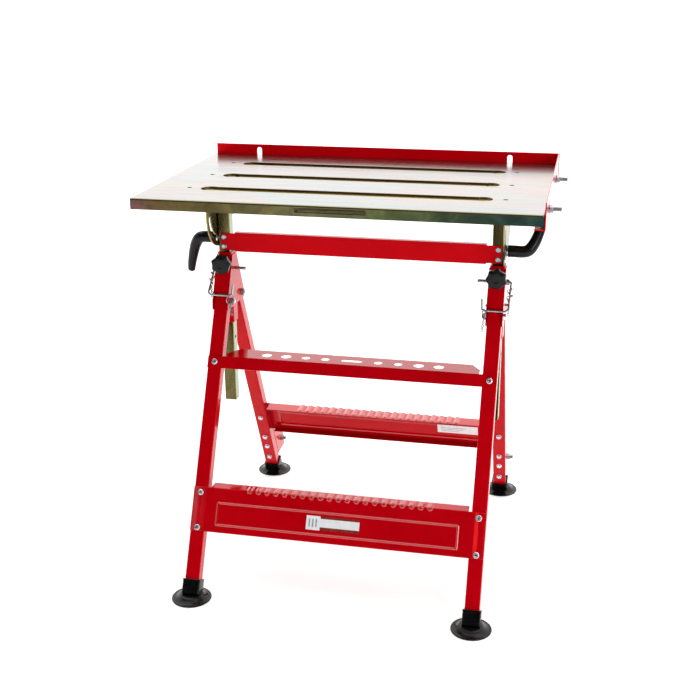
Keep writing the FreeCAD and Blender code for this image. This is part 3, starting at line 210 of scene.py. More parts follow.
def threaded(name, pitch, split):
    """Zinc-plated thread: fine rings along X beyond the split, and along Y before it, with the roots painted
    dark and the crests pale as painted shade and highlight.
    """
    s = Shader(name, Metallic=1.0)
    rings = []
    for direction in "XY":
        wave = s.node("ShaderNodeTexWave", wave_type="BANDS", bands_direction=direction)
        # a Wave texture's bands lie 2 pi / (20 x Scale) apart
        wave.inputs["Scale"].default_value = 2 * math.pi / (20 * pitch)
        s.link(s.place, wave.inputs["Vector"])
        rings.append(s.ramp(wave.outputs["Fac"], [(0.25, (0.0, 0.0, 0.0)), (0.75, (1.0, 1.0, 1.0))]))
    chosen = s.blend(s.spread(s.axis("X"), split, split + 0.001, 0.0, 1.0), rings[1], rings[0])
    # the rings' colours are painted shade in the thread's roots and a painted highlight on its crests
    s.set(Base_Color=s.ramp(chosen, [(0.2, (0.06, 0.06, 0.065)), (0.8, (0.46, 0.45, 0.45))]))
    s.set(Roughness=s.spread(s.noise(500.0, 3.0), 0.3, 0.7, 0.22, 0.40))
    s.set(Normal=s.bump(chosen, 0.8, 0.0006))
    return s.material


def moulded(name, dark, light, rough_low, rough_high, grain):
    """Moulded black plastic or rubber with a fine grain and a little dust."""
    s = Shader(name, IOR=1.27)
    colour = s.ramp(s.noise(60.0, 5.0, 0.6), [(0.35, dark), (0.75, light)])
    s.set(Base_Color=colour, Roughness=s.spread(s.noise(120.0, 4.0), 0.35, 0.7, rough_low, rough_high))
    s.set(Normal=s.bump(s.noise(1400.0, 2.0), grain, 0.0003))
    return s.material


def printed_film(name, dark, light):
    """Satin label film, slightly uneven where it was rubbed down."""
    s = Shader(name, IOR=1.45)
    s.set(Base_Color=s.ramp(s.noise(90.0, 4.0, 0.6), [(0.3, dark), (0.7, light)]))
    s.set(Roughness=s.spread(s.noise(160.0, 3.0), 0.35, 0.7, 0.22, 0.42))
    s.set(Normal=s.bump(s.noise(300.0, 3.0), 0.05, 0.0003))
    return s.material


TOP_LEVEL = 0.8070
EDGE_LEVEL = 0.8034  # about where the tabletop's rounded edge begins
WALL_LEVEL = 0.7985  # the slots' walls get bands of painted highlight and painted shade by their height from here up


def chromate_top_painted_light():
    """Yellow chromate on the tabletop: nearly white and iridescent on top; below the top the colour is
    painted light: dark olive painted reflection and shade on the aprons, painted highlight and shade on the
    rounded edge and the slots' walls, and painted shade under the top.
    """
    s = Shader("chromate_top_painted_light", Metallic=1.0)
    bands = s.noise(3.4, 3.0, 0.55, 1.4, s.stretched((1.0, 2.2, 1.0)))
    film = s.ramp(bands, [(0.30, (0.215, 0.240, 0.228)), (0.42, (0.232, 0.250, 0.240)),
                          (0.50, (0.262, 0.232, 0.220)), (0.58, (0.285, 0.222, 0.208)),
                          (0.66, (0.270, 0.250, 0.190)), (0.78, (0.225, 0.252, 0.238))])
    from_left = s.spread(s.axis("X"), -0.38, 0.36, 0.0, 1.0)
    warm = s.ramp(from_left, [(0.0, (0.87, 0.91, 0.91)), (0.35, (0.97, 0.99, 0.98)),
                              (1.0, (1.04, 0.96, 0.94))])
    film = s.blend(1.0, film, warm, "MULTIPLY")
    grain = s.noise(24.0, 5.0, 0.65, 0.6, s.stretched((0.5, 2.0, 1.0)))
    fine = s.ramp(grain, [(0.3, (0.965, 0.975, 0.965)), (0.7, (1.03, 1.01, 0.99))])
    film = s.blend(1.0, film, fine, "MULTIPLY")

    # the aprons: the plating's olive painted far darker than the top, a painted reflection and shade that
    # changes along the table
    along = s.spread(s.axis("X"), -0.39, 0.37, 0.0, 1.0)
    apron_painted_reflection = s.ramp(along, [(0.0, (0.10, 0.045, 0.05)), (0.07, (0.11, 0.075, 0.03)),
                           (0.20, (0.075, 0.062, 0.024)), (0.45, (0.10, 0.095, 0.045)),
                           (0.62, (0.075, 0.09, 0.035)), (0.82, (0.03, 0.045, 0.028)),
                           (1.0, (0.012, 0.03, 0.03))])
    cloud = s.ramp(s.noise(16.0, 5.0, 0.65, 0.8),
                   [(0.3, (0.55, 0.55, 0.60)), (0.5, (1.0, 1.0, 1.0)), (0.7, (1.7, 1.6, 1.35))])
    apron_painted_reflection = s.blend(1.0, apron_painted_reflection, cloud, "MULTIPLY")
    # the rounded edge: a dark band of painted shade, then a tan painted highlight along the bend
    up_edge = s.spread(s.axis("Z"), EDGE_LEVEL, TOP_LEVEL, 0.0, 1.0)
    edge_painted_light = s.ramp(up_edge, [(0.0, (0.05, 0.035, 0.014)), (0.25, (0.06, 0.04, 0.015)),
                            (0.45, (0.40, 0.31, 0.15)), (0.62, (0.30, 0.27, 0.10)),
                            (0.85, (0.26, 0.26, 0.20))])
    wall_painted_light = s.blend(s.spread(s.axis("Z"), EDGE_LEVEL - 0.0006, EDGE_LEVEL + 0.0002, 0.0, 1.0), apron_painted_reflection, edge_painted_light)

    # behind the front apron's face everything below the top is browner and darker: painted shade under the
    # tabletop
    inside_painted_shade = s.blend(s.spread(s.axis("Y"), -0.2608, -0.2600, 0.0, 1.0), (1.0, 1.0, 1.0), (0.85, 0.72, 0.42))
    wall_painted_light = s.blend(1.0, wall_painted_light, inside_painted_shade, "MULTIPLY")

    # the slots' walls take their colour from their height: bands of painted highlight and painted shade
    up_wall = s.spread(s.axis("Z"), WALL_LEVEL, TOP_LEVEL, 0.0, 1.0)
    slot_wall_painted_light = s.ramp(up_wall, [(0.0, (0.05, 0.04, 0.012)), (0.18, (0.40, 0.36, 0.08)),
                              (0.27, (0.34, 0.29, 0.07)), (0.38, (0.11, 0.065, 0.024)),
                              (0.70, (0.09, 0.05, 0.02)), (1.0, (0.17, 0.13, 0.06))])
    near_middle = s.math("LESS_THAN", s.math("ABSOLUTE", s.axis("X")), 0.32)
    in_row = s.math("MULTIPLY", near_middle, s.math("GREATER_THAN", s.axis("Y"), -0.2))
    in_row = s.math("MULTIPLY", in_row, s.math("LESS_THAN", s.axis("Y"), 0.2))
    wall_painted_light = s.blend(in_row, wall_painted_light, slot_wall_painted_light)
    upward = s.spread(s.axis("Z"), TOP_LEVEL - 0.00045, TOP_LEVEL - 0.0001, 0.0, 1.0)
    s.set(Base_Color=s.blend(upward, wall_painted_light, film))

    streaks = s.noise(60.0, 5.0, 0.7, 0.0, s.stretched((0.15, 3.0, 1.0)))
    s.set(Roughness=s.spread(streaks, 0.3, 0.75, 0.15, 0.27))
    ripple = s.bump(s.noise(7.0, 2.0), 0.05, 0.004)
    s.set(Normal=s.bump(s.noise(700.0, 2.0), 0.04, 0.0002, ripple))
    return s.material


def chromate_post_painted_light(name):
    """Yellow chromate on the posts, coloured by the way each face turns: dark olive painted shade in front,
    darker towards the right, and a pale blue-green painted reflection with yellow painted highlights along
    the edges on the sides.
    """
    s = Shader(name, Metallic=1.0)
    side = s.spread(s.math("ABSOLUTE", s.normal("X")), 0.35, 0.8, 0.0, 1.0)
    cloud = s.noise(18.0, 5.0, 0.65, 0.8, s.stretched((1.0, 1.0, 0.35)))
    front = s.ramp(cloud, [(0.3, (0.050, 0.040, 0.018)), (0.5, (0.10, 0.085, 0.038)),
                           (0.7, (0.17, 0.13, 0.06))])
    # painted shade: the fronts get darker towards the right
    across_table = s.spread(s.axis("X"), -0.2, 0.2, 0.0, 1.0)
    shade_to_right_painted = s.ramp(across_table, [(0.0, (1.0, 1.0, 0.9)), (1.0, (0.30, 0.29, 0.24))])
    front = s.blend(1.0, front, shade_to_right_painted, "MULTIPLY")
    flank_painted_light = s.ramp(cloud, [(0.3, (0.22, 0.28, 0.20)), (0.5, (0.28, 0.34, 0.26)),
                           (0.62, (0.34, 0.34, 0.17)), (0.75, (0.26, 0.33, 0.27))])
    # painted highlight: yellow along the rounded corners of the sides
    rim_painted_highlight = s.spread(s.math("ABSOLUTE", s.axis("Y")), 0.0088, 0.0118, 0.0, 1.0)
    flank_painted_light = s.blend(rim_painted_highlight, flank_painted_light, s.ramp(cloud, [(0.3, (0.16, 0.16, 0.02)), (0.7, (0.34, 0.32, 0.06))]))
    s.set(Base_Color=s.blend(side, front, flank_painted_light))
    s.set(Roughness=s.spread(s.noise(240.0, 4.0), 0.3, 0.7, 0.16, 0.34))
    s.set(Normal=s.bump(s.noise(800.0, 2.0), 0.08, 0.0002))
    return s.material


def chromate_plate_painted_light(name):
    """Yellow chromate on the tilt brackets: olive plates, and brassy rims that are a painted highlight on
    the edges, picked by the way each face turns.
    """
    s = Shader(name, Metallic=1.0)
    side = s.spread(s.math("ABSOLUTE", s.normal("X")), 0.35, 0.8, 0.0, 1.0)
    cloud = s.noise(22.0, 5.0, 0.65, 0.8)
    plate = s.ramp(cloud, [(0.3, (0.07, 0.06, 0.025)), (0.5, (0.14, 0.12, 0.05)), (0.7, (0.24, 0.24, 0.13))])
    # painted highlight: the rims, chosen by the face's direction, are brighter than the plate's broad faces
    rim_painted_highlight = s.ramp(cloud, [(0.3, (0.20, 0.16, 0.04)), (0.7, (0.40, 0.36, 0.13))])
    s.set(Base_Color=s.blend(side, rim_painted_highlight, plate))
    s.set(Roughness=s.spread(s.noise(240.0, 4.0), 0.3, 0.7, 0.18, 0.36))
    s.set(Normal=s.bump(s.noise(800.0, 2.0), 0.08, 0.0002))
    return s.material


RED = red_paint("red_paint", (0.46, 0.0, 0.004), (0.54, 0.001, 0.006), 0.08, 0.20)
RED_PRESSED = red_paint("red_paint_pressed", (0.44, 0.0, 0.004), (0.52, 0.001, 0.006), 0.07, 0.16)
# the raised ribs and bead: the same red paint with a near-white, doubled specular and a slightly paler base,
# a painted highlight so they glint
RED_RAISED_GLINT = red_paint("red_paint_raised_glint", (0.46, 0.0, 0.004), (0.54, 0.002, 0.007), 0.06, 0.13,
                       (1.0, 0.88, 0.82, 1.0), 1.0)
# the rear guide rail has the same red paint with a much paler base colour: painted light making up for the
# shade it stands in
RED_RAIL_PAINTED_LIGHT = red_paint("red_paint_rail_painted_light", (0.80, 0.0, 0.006), (0.92, 0.001, 0.008), 0.10, 0.24)
BRIGHT = zinc("bright_zinc", (0.55, 0.58, 0.62), (0.80, 0.83, 0.86), 0.14, 0.30)
DULL = zinc("dull_zinc", (0.16, 0.16, 0.17), (0.42, 0.42, 0.44), 0.22, 0.40)
WIRE = zinc("wire_zinc", (0.26, 0.27, 0.28), (0.55, 0.57, 0.59), 0.12, 0.26)
LINKS = zinc("link_zinc", (0.10, 0.10, 0.10), (0.34, 0.34, 0.35), 0.16, 0.32)
SMALL_SCREW = zinc("small_screw_zinc", (0.20, 0.23, 0.25), (0.40, 0.44, 0.47), 0.16, 0.30)
THREAD = threaded("rail_bolt_thread", 0.00125, 0.36)
BLACK = moulded("black_plastic", (0.003, 0.003, 0.0035), (0.009, 0.009, 0.010), 0.14, 0.28, 0.12)
RUBBER = moulded("foot_rubber", (0.002, 0.002, 0.002), (0.007, 0.007, 0.0075), 0.10, 0.26, 0.08)
WHEEL = moulded("wheel_plastic", (0.008, 0.008, 0.009), (0.024, 0.024, 0.025), 0.35, 0.55, 0.15)
WHITE_FILM = printed_film("label_white", (0.78, 0.79, 0.81), (0.86, 0.86, 0.87))
DARK_FILM = printed_film("label_dark_red", (0.16, 0.012, 0.008), (0.26, 0.030, 0.015))
GREY_FILM = printed_film("label_grey", (0.30, 0.31, 0.33), (0.40, 0.41, 0.43))
TOP = chromate_top_painted_light()
POST = chromate_post_painted_light("chromate_post_painted_light")
PLATE = chromate_plate_painted_light("chromate_plate_painted_light")

# the look of each of the record's material slots, then the nodes that look different from their slot
FINISH = {"yellow_zinc": POST, "red_paint": RED, "bright_zinc": BRIGHT, "black_plastic": BLACK,
          "foot_rubber": RUBBER, "wheel_plastic": WHEEL, "label_vinyl": WHITE_FILM}
SPECIAL = {
    "tabletop": TOP,
    "left_tilt_bracket": PLATE, "right_tilt_bracket": PLATE,
    "rear_guide_rail": RED_RAIL_PAINTED_LIGHT,
    "guide_rail_bolts": THREAD, "guide_rail_nuts": DULL,
    "left_pin_bail": WIRE, "right_pin_bail": WIRE,
    "left_lock_pin": DULL, "right_lock_pin": DULL,
    "left_knob_screw": DULL, "right_knob_screw": DULL, "knob_weld_nuts": DULL,
    "leg_pivot_nuts": DULL, "wheel_axles": DULL,
}
for part in frame["record"]["subparts"]:
    node = nodes[part["node"]]
    node.data.materials.clear()
    node.data.materials.append(SPECIAL.get(part["node"], FINISH[part["material_slot"]]))

# widths of rounded edges in millimetres, by the first of these words found in a node's name
BEVELS = {
    "rear_guide_rail": 0.7, "right_guide_rail": 0.7, "cross_rail": 0.7, "tool_rail": 0.5,
    "wheel_axles": 0.5, "guide_rail_nuts": 0.6, "guide_rail_bolts": 0.5, "leg_pivot_bolts": 0.7,
    "leg_pivot_nuts": 0.6, "tilt_pivot_bolts": 0.7, "tilt_pivot_nuts": 0.6, "clamp_studs": 0.4,
    "clamp_washers": 0.3, "knob_weld_nuts": 0.5, "wheel": 1.0, "gusset": 0.4, "bracket": 0.5,
    "lock_pin": 0.6, "head_plate": 0.4,
}
for name, node in nodes.items():
    width = next((value for key, value in BEVELS.items() if key in name), None)
    if width:
        bevel = node.modifiers.new("edges", "BEVEL")
        bevel.width = width * MM
        bevel.segments = 2
        bevel.limit_method = "ANGLE"
        bevel.angle_limit = math.radians(40)

# ---------------------------------------------------------------- pieces

# sizes of the CAD model, in millimetres
PIVOT_Y, PIVOT_Z = 36.0, 547.0
LEAN = math.radians(26.66)
SIDE = 283.5  # from the middle of the table to the middle of each post and leg
POST_HALF, SLEEVE_HALF = 12.5, 15.0
LEG_HALF_WIDTH, LEG_HALF_DEPTH = 14.7, 12.5


def at(x, y, z):
    """A point given in millimetres from the floor under the middle of the posts, as a place in metres."""
    return Vector((x * MM + SHIFT, y * MM, z * MM))


def frame_spot(facing, x, out, station):
    """A point of a leg frame, from its distance outward and its distance down the leg."""
    y = PIVOT_Y + out * math.cos(LEAN) + station * math.sin(LEAN)
    return at(x, y * facing, PIVOT_Z + out * math.sin(LEAN) - station * math.cos(LEAN))


def frame_out(facing):
    """The direction straight out of a leg frame's face."""
    return Vector((0, math.cos(LEAN) * facing, math.sin(LEAN)))


def piece(name, mesh, materials, body, stands_for, smooth=35.0):
    """Makes the finished piece from a bmesh, hangs it on its body and shades it smooth."""
    bmesh.ops.recalc_face_normals(mesh, faces=mesh.faces)
    data = bpy.data.meshes.new(name)
    mesh.to_mesh(data)
    mesh.free()
    item = bpy.data.objects.new(name, data)
    bpy.context.scene.collection.objects.link(item)
    for material in materials:
        data.materials.append(material)
    for face in data.polygons:
        face.use_smooth = True
    data.set_sharp_from_angle(angle=math.radians(smooth))
    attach(item, body)
    if stands_for:
        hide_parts(*stands_for)
    return item


def loft(mesh, rings, cap=True, material=0):
    """Skins a list of closed point rings that all have the same count."""
    rows = [[mesh.verts.new(point) for point in ring] for ring in rings]
    count = len(rows[0])
    for low, high in zip(rows, rows[1:]):
        for k in range(count):
            n = (k + 1) % count
            face = mesh.faces.new((low[k], low[n], high[n], high[k]))
            face.material_index = material
    if cap:
        for ring in (rows[0], rows[-1]):
            mesh.faces.new(ring).material_index = material


def basis(axis):
    """Two directions square to an axis and to each other."""
    axis = axis.normalized()
    first = axis.cross(Z if abs(axis.z) < 0.9 else X).normalized()
    return first, axis.cross(first)


def lathe(mesh, centre, axis, profile, count, phase=0.0):
    """Turns a profile of (distance along the axis, radius) pairs, in millimetres."""
    first, second = basis(axis)
    rings = []
    for along, radius in profile:
        ring = []
        for k in range(count):
            a = 2 * math.pi * k / count + phase
            outward = first * math.cos(a) + second * math.sin(a)
            ring.append(centre + axis * (along * MM) + outward * (radius * MM))
        rings.append(ring)
    loft(mesh, rings)


def smooth_step(value):
    """Rises smoothly from 0 to 1 as the value does."""
    value = min(max(value, 0.0), 1.0)
    return value * value * (3 - 2 * value)


# step panels: a folded sheet with pressed ribs over the upper bend and a pressed frame on the web

PANEL_METAL, PANEL_FACE = 1.5, 14.1  # the sheet, and its outer face's distance from the leg's middle
TREAD_HALF = 262.0  # the tread and lip fit between the legs, and the web runs over them
UPPER_BEND, LOWER_BEND, BEND_STEPS = 3.0, 2.2, 8
FOLD_LEAD = 1.2  # the upper bend begins about this far before its corner
RIBS, RIB_PITCH, RIB_MIDDLE = 21, 18.4, 3.0
RIB_HEIGHT, RIB_HALF_WIDTH, RIB_SLOPE = 2.0, 3.4, 2.2
RIB_SHORT, RIB_BELOW = 9.5, 1.6  # from the tread's back edge to a rib's start, and from the bend to its end
BEAD_HEIGHT, BEAD_HALF_WIDTH = 1.5, 2.8
BEAD_SIDE, BEAD_TOP, BEAD_BOTTOM = 244, 30.5, 74.5  # the pressed frame on the web
RAISED_FROM = 0.25  # metal pressed higher than this gets the raised paint's paler, stronger specular: a painted highlight that makes the ribs and the bead glint
COLUMNS = 328


def folded(points, bends, step):
    """A path through points with rounded corners, in steps of about the given length."""
    path = [points[0]]
    for before, corner, after, bend in zip(points, points[1:], points[2:], bends):
        back, on = (before - corner).normalized(), (after - corner).normalized()
        half = (math.pi - back.angle(on)) / 2
        centre = corner + (back + on).normalized() * (bend / math.cos(half))
        start = corner + back * bend * math.tan(half) - centre
        end = corner + on * bend * math.tan(half) - centre
        for k in range(BEND_STEPS + 1):
            path.append(centre + start.slerp(end, k / BEND_STEPS).normalized() * bend)
    path.append(points[-1])
    fine = [path[0]]
    for a, b in zip(path, path[1:]):
        parts = max(1, round((b - a).length / step))
        fine += [a.lerp(b, k / parts) for k in range(1, parts + 1)]
    return fine


def pressed(x, t, tread):
    """Height of the pressing at a place on the sheet: x across it, t down it from the upper bend."""
    half_row = (RIBS - 1) / 2
    nearest = min(max(round((x - RIB_MIDDLE) / RIB_PITCH + half_row), 0), RIBS - 1)
    middle = RIB_MIDDLE + RIB_PITCH * (nearest - half_row)
    along = min(max(t, RIB_SHORT - tread), RIB_BELOW)
    height = RIB_HEIGHT * (1 - smooth_step((math.hypot(x - middle, t - along) - RIB_HALF_WIDTH) / RIB_SLOPE))
    outside = max(abs(x) - BEAD_SIDE, BEAD_TOP - t, t - BEAD_BOTTOM)
    return height + BEAD_HEIGHT * (1 - smooth_step(abs(outside) / BEAD_HALF_WIDTH))


def step_panel(name, facing, body, top, bottom, tread, lip):
    """A step panel: tread, web and lip in one folded sheet. Top and bottom are stations down the leg."""
    inward = Vector((-math.cos(LEAN), 0, math.sin(LEAN)))
    high, low = Vector((PANEL_FACE, 0, -top)), Vector((PANEL_FACE, 0, -bottom))
    corners = [high + inward * tread, high, low, low + inward * lip]
    path = folded(corners, [UPPER_BEND, LOWER_BEND], 1.0)
    lengths = [0.0]
    for a, b in zip(path, path[1:]):
        lengths.append(lengths[-1] + (b - a).length)
    upper_fold = tread - FOLD_LEAD
    lower_fold = upper_fold + bottom - top
    end = SIDE + LEG_HALF_WIDTH
    across = {-TREAD_HALF + 2 * TREAD_HALF * k / COLUMNS for k in range(COLUMNS + 1)}
    columns = sorted({-end, end, -TREAD_HALF, TREAD_HALF} | across)
    mesh = bmesh.new()
    rows, raised = [], []
    for k, spot in enumerate(path):
        a, b = path[max(k - 1, 0)], path[min(k + 1, len(path) - 1)]
        tangent = (b - a).normalized()
        normal = Vector((-tangent.z, 0, tangent.x))
        row, heights = [], []
        for x in columns:
            lift = pressed(x, lengths[k] - upper_fold, tread) if abs(x) < TREAD_HALF else 0.0
            p = spot + normal * lift
            row.append(mesh.verts.new(frame_spot(facing, x, p.x, -p.z)))
            heights.append(lift)
        rows.append(row)
        raised.append(heights)
    for k, (upper, lower) in enumerate(zip(rows, rows[1:])):
        on_web = upper_fold - 0.5 <= lengths[k] and lengths[k + 1] <= lower_fold + 1.5
        for c in range(len(columns) - 1):
            if on_web or abs(columns[c] + columns[c + 1]) / 2 < TREAD_HALF:
                face = mesh.faces.new((upper[c], lower[c], lower[c + 1], upper[c + 1]))
                face.material_index = int(max(raised[k][c], raised[k + 1][c + 1]) > RAISED_FROM)
    loose = [v for v in mesh.verts if not v.link_faces]
    bmesh.ops.delete(mesh, geom=loose, context="VERTS")
    item = piece(name + "_sheet", mesh, [RED_PRESSED, RED_RAISED_GLINT], body, [name], 50.0)
    # the sheet's metal goes inward from its outer face, whichever way the faces were turned
    web_middle = frame_spot(facing, 0, PANEL_FACE, (top + bottom) / 2)
    middle = min(item.data.polygons, key=lambda face: (face.center - web_middle).length)
    thick = item.modifiers.new("sheet", "SOLIDIFY")
    thick.thickness = PANEL_METAL * MM
    thick.offset = -1.0 if middle.normal.dot(frame_out(facing)) > 0 else 1.0


step_panel("front_step_panel", -1, "front_frame", 388, 478.7, 24, 14)
step_panel("rear_step_panel", 1, "rear_frame", 374, 467, 42, 19)

# labels: plain film with no lettering


def film(mesh, facing, left, right, high, low, out, thick, material):
    """A thin film on a step panel, between two places across it and two stations down the leg."""
    outline = ((left, low), (right, low), (right, high), (left, high))
    layers = []
    for depth in (out, out + thick):
        layers.append([frame_spot(facing, x, depth, station) for x, station in outline])
    loft(mesh, layers, material=material)


# the front one is a dark film with a white end, a white strip and three small grey bars
LABEL_LEFT, LABEL_SPLIT, LABEL_RIGHT = -58, -29.5, 50
LABEL_HIGH, LABEL_LOW = 424.5, 452.5
front_film = bmesh.new()
film(front_film, -1, LABEL_LEFT, LABEL_RIGHT, LABEL_HIGH, LABEL_LOW, 14.16, 0.18, 0)
film(front_film, -1, LABEL_LEFT, LABEL_SPLIT, LABEL_HIGH, LABEL_LOW, 14.34, 0.10, 1)
film(front_film, -1, LABEL_SPLIT, LABEL_RIGHT, 429.3, 446.0, 14.34, 0.08, 1)
for x in (-53, -46, -39):
    film(front_film, -1, x, x + 3.0, 430.5, 446.5, 14.44, 0.05, 2)
FRONT_FILMS = [DARK_FILM, WHITE_FILM, GREY_FILM]
piece("front_label_film", front_film, FRONT_FILMS, "front_frame", ["front_label"], 20.0)

# the rear one is on the inside of its panel, so its films grow inward
rear_film = bmesh.new()
film(rear_film, 1, 138, 232, 402.5, 429.5, 12.55, -0.25, 0)
for number, station in enumerate((411.0, 416.5, 422.0)):
    film(rear_film, 1, 146, 205 - 8 * number, station, station + 1.8, 12.30, -0.05, 1)
REAR_FILMS = [WHITE_FILM, GREY_FILM]
piece("rear_label_film", rear_film, REAR_FILMS, "rear_frame", ["rear_label"], 20.0)

# screws: washer-faced hexagon heads with a dished crown


def screw_head(mesh, spot, axis, across, height, phase):
    """A screw head, from its width across the flats and its height."""
    flange = across * 0.60
    lathe(mesh, spot, axis, [(0.0, flange), (0.7, flange), (1.1, flange * 0.93), (1.25, across * 0.48)], 36)
    corner = across / math.sqrt(3)
    crown = [(1.0, corner), (height - 0.7, corner), (height, corner * 0.88),
             (height + 0.02, corner * 0.62), (height - 0.5, corner * 0.5)]
    lathe(mesh, spot, axis, crown, 6, phase)


FRONT_SCREWS = (130, 399, 470)  # stations down the leg
REAR_SCREWS = (399, 470, 505, 545)
CROSS_SCREWS = (659.0, 679.0)  # levels above the floor
CROSS_FACE = -14.6  # the cross rail's front face
TURN = 0.7  # each head is turned this much further than the one before
front_heads = bmesh.new()
rear_heads = bmesh.new()
cross_heads = bmesh.new()
turn = 0.3
for side, sign in SIDES.items():
    for station in FRONT_SCREWS:
        spot = frame_spot(-1, SIDE * sign, PANEL_FACE, station)
        screw_head(front_heads, spot, frame_out(-1), 10.0, 4.2, turn)
        turn += TURN
    for station in REAR_SCREWS:
        spot = frame_spot(1, SIDE * sign, -LEG_HALF_DEPTH, station)
        screw_head(rear_heads, spot, -frame_out(1), 10.0, 4.2, turn)
        turn += TURN
    for level in CROSS_SCREWS:
        screw_head(cross_heads, at(SIDE * sign, CROSS_FACE, level), -Y, 9.0, 3.6, turn)
        turn += TURN
piece("front_screw_heads", front_heads, [BRIGHT], "front_frame", ["front_frame_screws"])
piece("rear_screw_heads", rear_heads, [BRIGHT], "rear_frame", ["rear_frame_screws"])
piece("cross_screw_heads", cross_heads, [SMALL_SCREW], "post_frame", ["cross_rail_screws"])

# star knobs: seven blunt corners with slightly hollow sides, and a domed face

KNOB_LEVEL, KNOB_RADIUS = 626, 21.4
KNOB_CORNERS, KNOB_HOLLOW = 7, 0.125
KNOB_POINTS = 112
# (place along Y, share of the full radius) from the back of the grip to the middle of its face
KNOB_SHAPE = [(-31.5, 0.30), (-31.5, 0.88), (-32.2, 0.96), (-33.5, 1.0), (-42.5, 1.0),
              (-44.4, 0.975), (-45.6, 0.92), (-46.4, 0.80), (-47.0, 0.62), (-47.35, 0.40),
              (-47.45, 0.34), (-47.2, 0.31), (-47.1, 0.12)]
HUB_START = -22.0
HUB_SHAPE = [(0.0, 7.4), (0.6, 8.0), (9.0, 8.0), (10.0, 8.6)]


def star_knob(side, sign, phase):
    """A star knob's grip and hub. The hollows between the corners fade towards the middle."""
    mesh = bmesh.new()
    rings = []
    for y, scale in KNOB_SHAPE:
        ring = []
        for k in range(KNOB_POINTS):
            a = 2 * math.pi * k / KNOB_POINTS
            corner = (1 + math.cos(KNOB_CORNERS * (a - phase))) / 2
            depth = KNOB_HOLLOW * scale ** 2
            radius = KNOB_RADIUS * scale * (1 - depth + depth * corner ** 1.6)
            ring.append(at(SIDE * sign + radius * math.cos(a), y, KNOB_LEVEL + radius * math.sin(a)))
        rings.append(ring)
    loft(mesh, rings)
    lathe(mesh, at(SIDE * sign, HUB_START, KNOB_LEVEL), -Y, HUB_SHAPE, 40)
    piece(f"{side}_knob_grip", mesh, [BLACK], f"{side}_knob", [f"{side}_star_knob"], 42.0)


star_knob("left", -1, math.radians(4))
star_knob("right", 1, math.radians(30))

# clamp levers: a round hub that runs into a flattened, tapering grip


def curve_through(points, steps):
    """A Catmull-Rom curve through stations, each a row of numbers, in so many steps from one to the next."""
    result = []
    padded = [points[0]] + points + [points[-1]]
    for p0, p1, p2, p3 in zip(padded, padded[1:], padded[2:], padded[3:]):
        for k in range(steps):
            t = k / steps
            blended = []
            for a, b, c, d in zip(p0, p1, p2, p3):
                square, cube = 2 * a - 5 * b + 4 * c - d, 3 * b - a - 3 * c + d
                blended.append(0.5 * (2 * b + (c - a) * t + square * t * t + cube * t ** 3))
            result.append(blended)
    result.append(list(points[-1]))
    return result


BRACKET_GAP, BRACKET_METAL, WASHER_GAP, WASHER_METAL = 0.5, 2.5, 0.3, 2.0
LEVER_OUT = SIDE + POST_HALF + BRACKET_GAP + BRACKET_METAL + WASHER_GAP + WASHER_METAL
LEVER_LEVEL = 674
LEVER_POINTS = 32
# (distance out from the washer, distance along the arm, radius, flatness)
LEVER_CURVE = [(0.4, 0, 11.6, 1.0), (2, 0, 12.0, 1.0), (14, 0, 12.0, 1.0), (30, 0, 12.0, 1.0),
               (41, 4, 12.2, 0.98), (50, 17, 11.6, 0.95), (56, 32, 10.9, 0.92), (61, 48, 10.1, 0.9),
               (65.5, 64, 9.2, 0.88), (69, 80, 8.0, 0.86)]
LEVER_TIP = ((1.6, 0.95), (2.8, 0.82), (3.5, 0.62), (3.8, 0.3))  # (distance past the end, scale)


def clamp_lever(side, sign, arm):
    """A clamp lever's hub and grip, with its arm in the given direction."""
    root = at(LEVER_OUT * sign, 0, LEVER_LEVEL)
    out = X * sign
    side_way = out.cross(arm).normalized()
    stations = curve_through(LEVER_CURVE, 6)
    spots = [root + out * (reach * MM) + arm * (along * MM) for reach, along, _, _ in stations]
    rings = []
    for k, (spot, (_, _, radius, flat)) in enumerate(zip(spots, stations)):
        tangent = (spots[min(k + 1, len(spots) - 1)] - spots[max(k - 1, 0)]).normalized()
        other = side_way.cross(tangent)
        ring = []
        for n in range(LEVER_POINTS):
            a = 2 * math.pi * n / LEVER_POINTS
            ring.append(spot + (side_way * math.cos(a) * flat + other * math.sin(a)) * (radius * MM))
        rings.append(ring)
    tip, heading = spots[-1], (spots[-1] - spots[-2]).normalized()
    last = rings[-1]
    for past, scale in LEVER_TIP:
        rings.append([tip + heading * (past * MM) + (point - tip) * scale for point in last])
    mesh = bmesh.new()
    loft(mesh, rings)
    stands_for = [f"{side}_clamp_lever"]
    piece(f"{side}_lever_grip", mesh, [BLACK], f"{side}_lever", stands_for, 60.0)


# both lean back: the left one hangs clear of the lock pin, the right one stands clear of the rail
left_lean, right_lean = math.radians(15), math.radians(24)
clamp_lever("left", -1, Vector((0, math.sin(left_lean), -math.cos(left_lean))))
clamp_lever("right", 1, Vector((0, math.sin(right_lean), math.cos(right_lean))))

# feet: a broad rubber pad with a raised rim and a square socket


CORNER_STEPS = 6
SOCKET_TOP, SOCKET_WALL = 34.0, 3.2
# (distance up, radius) from under the pad, over its raised rim, to the socket
FOOT_SHAPE = [(0.0, 30.0), (0.0, 38.6), (0.5, 39.6), (1.4, 40.0), (2.4, 39.8), (3.1, 39.0),
              (3.2, 38.0), (2.9, 36.8), (3.3, 34.0), (4.3, 31.0), (5.9, 28.0), (7.8, 25.5),
              (9.6, 23.8), (10.4, 22.0), (10.6, 18.0)]


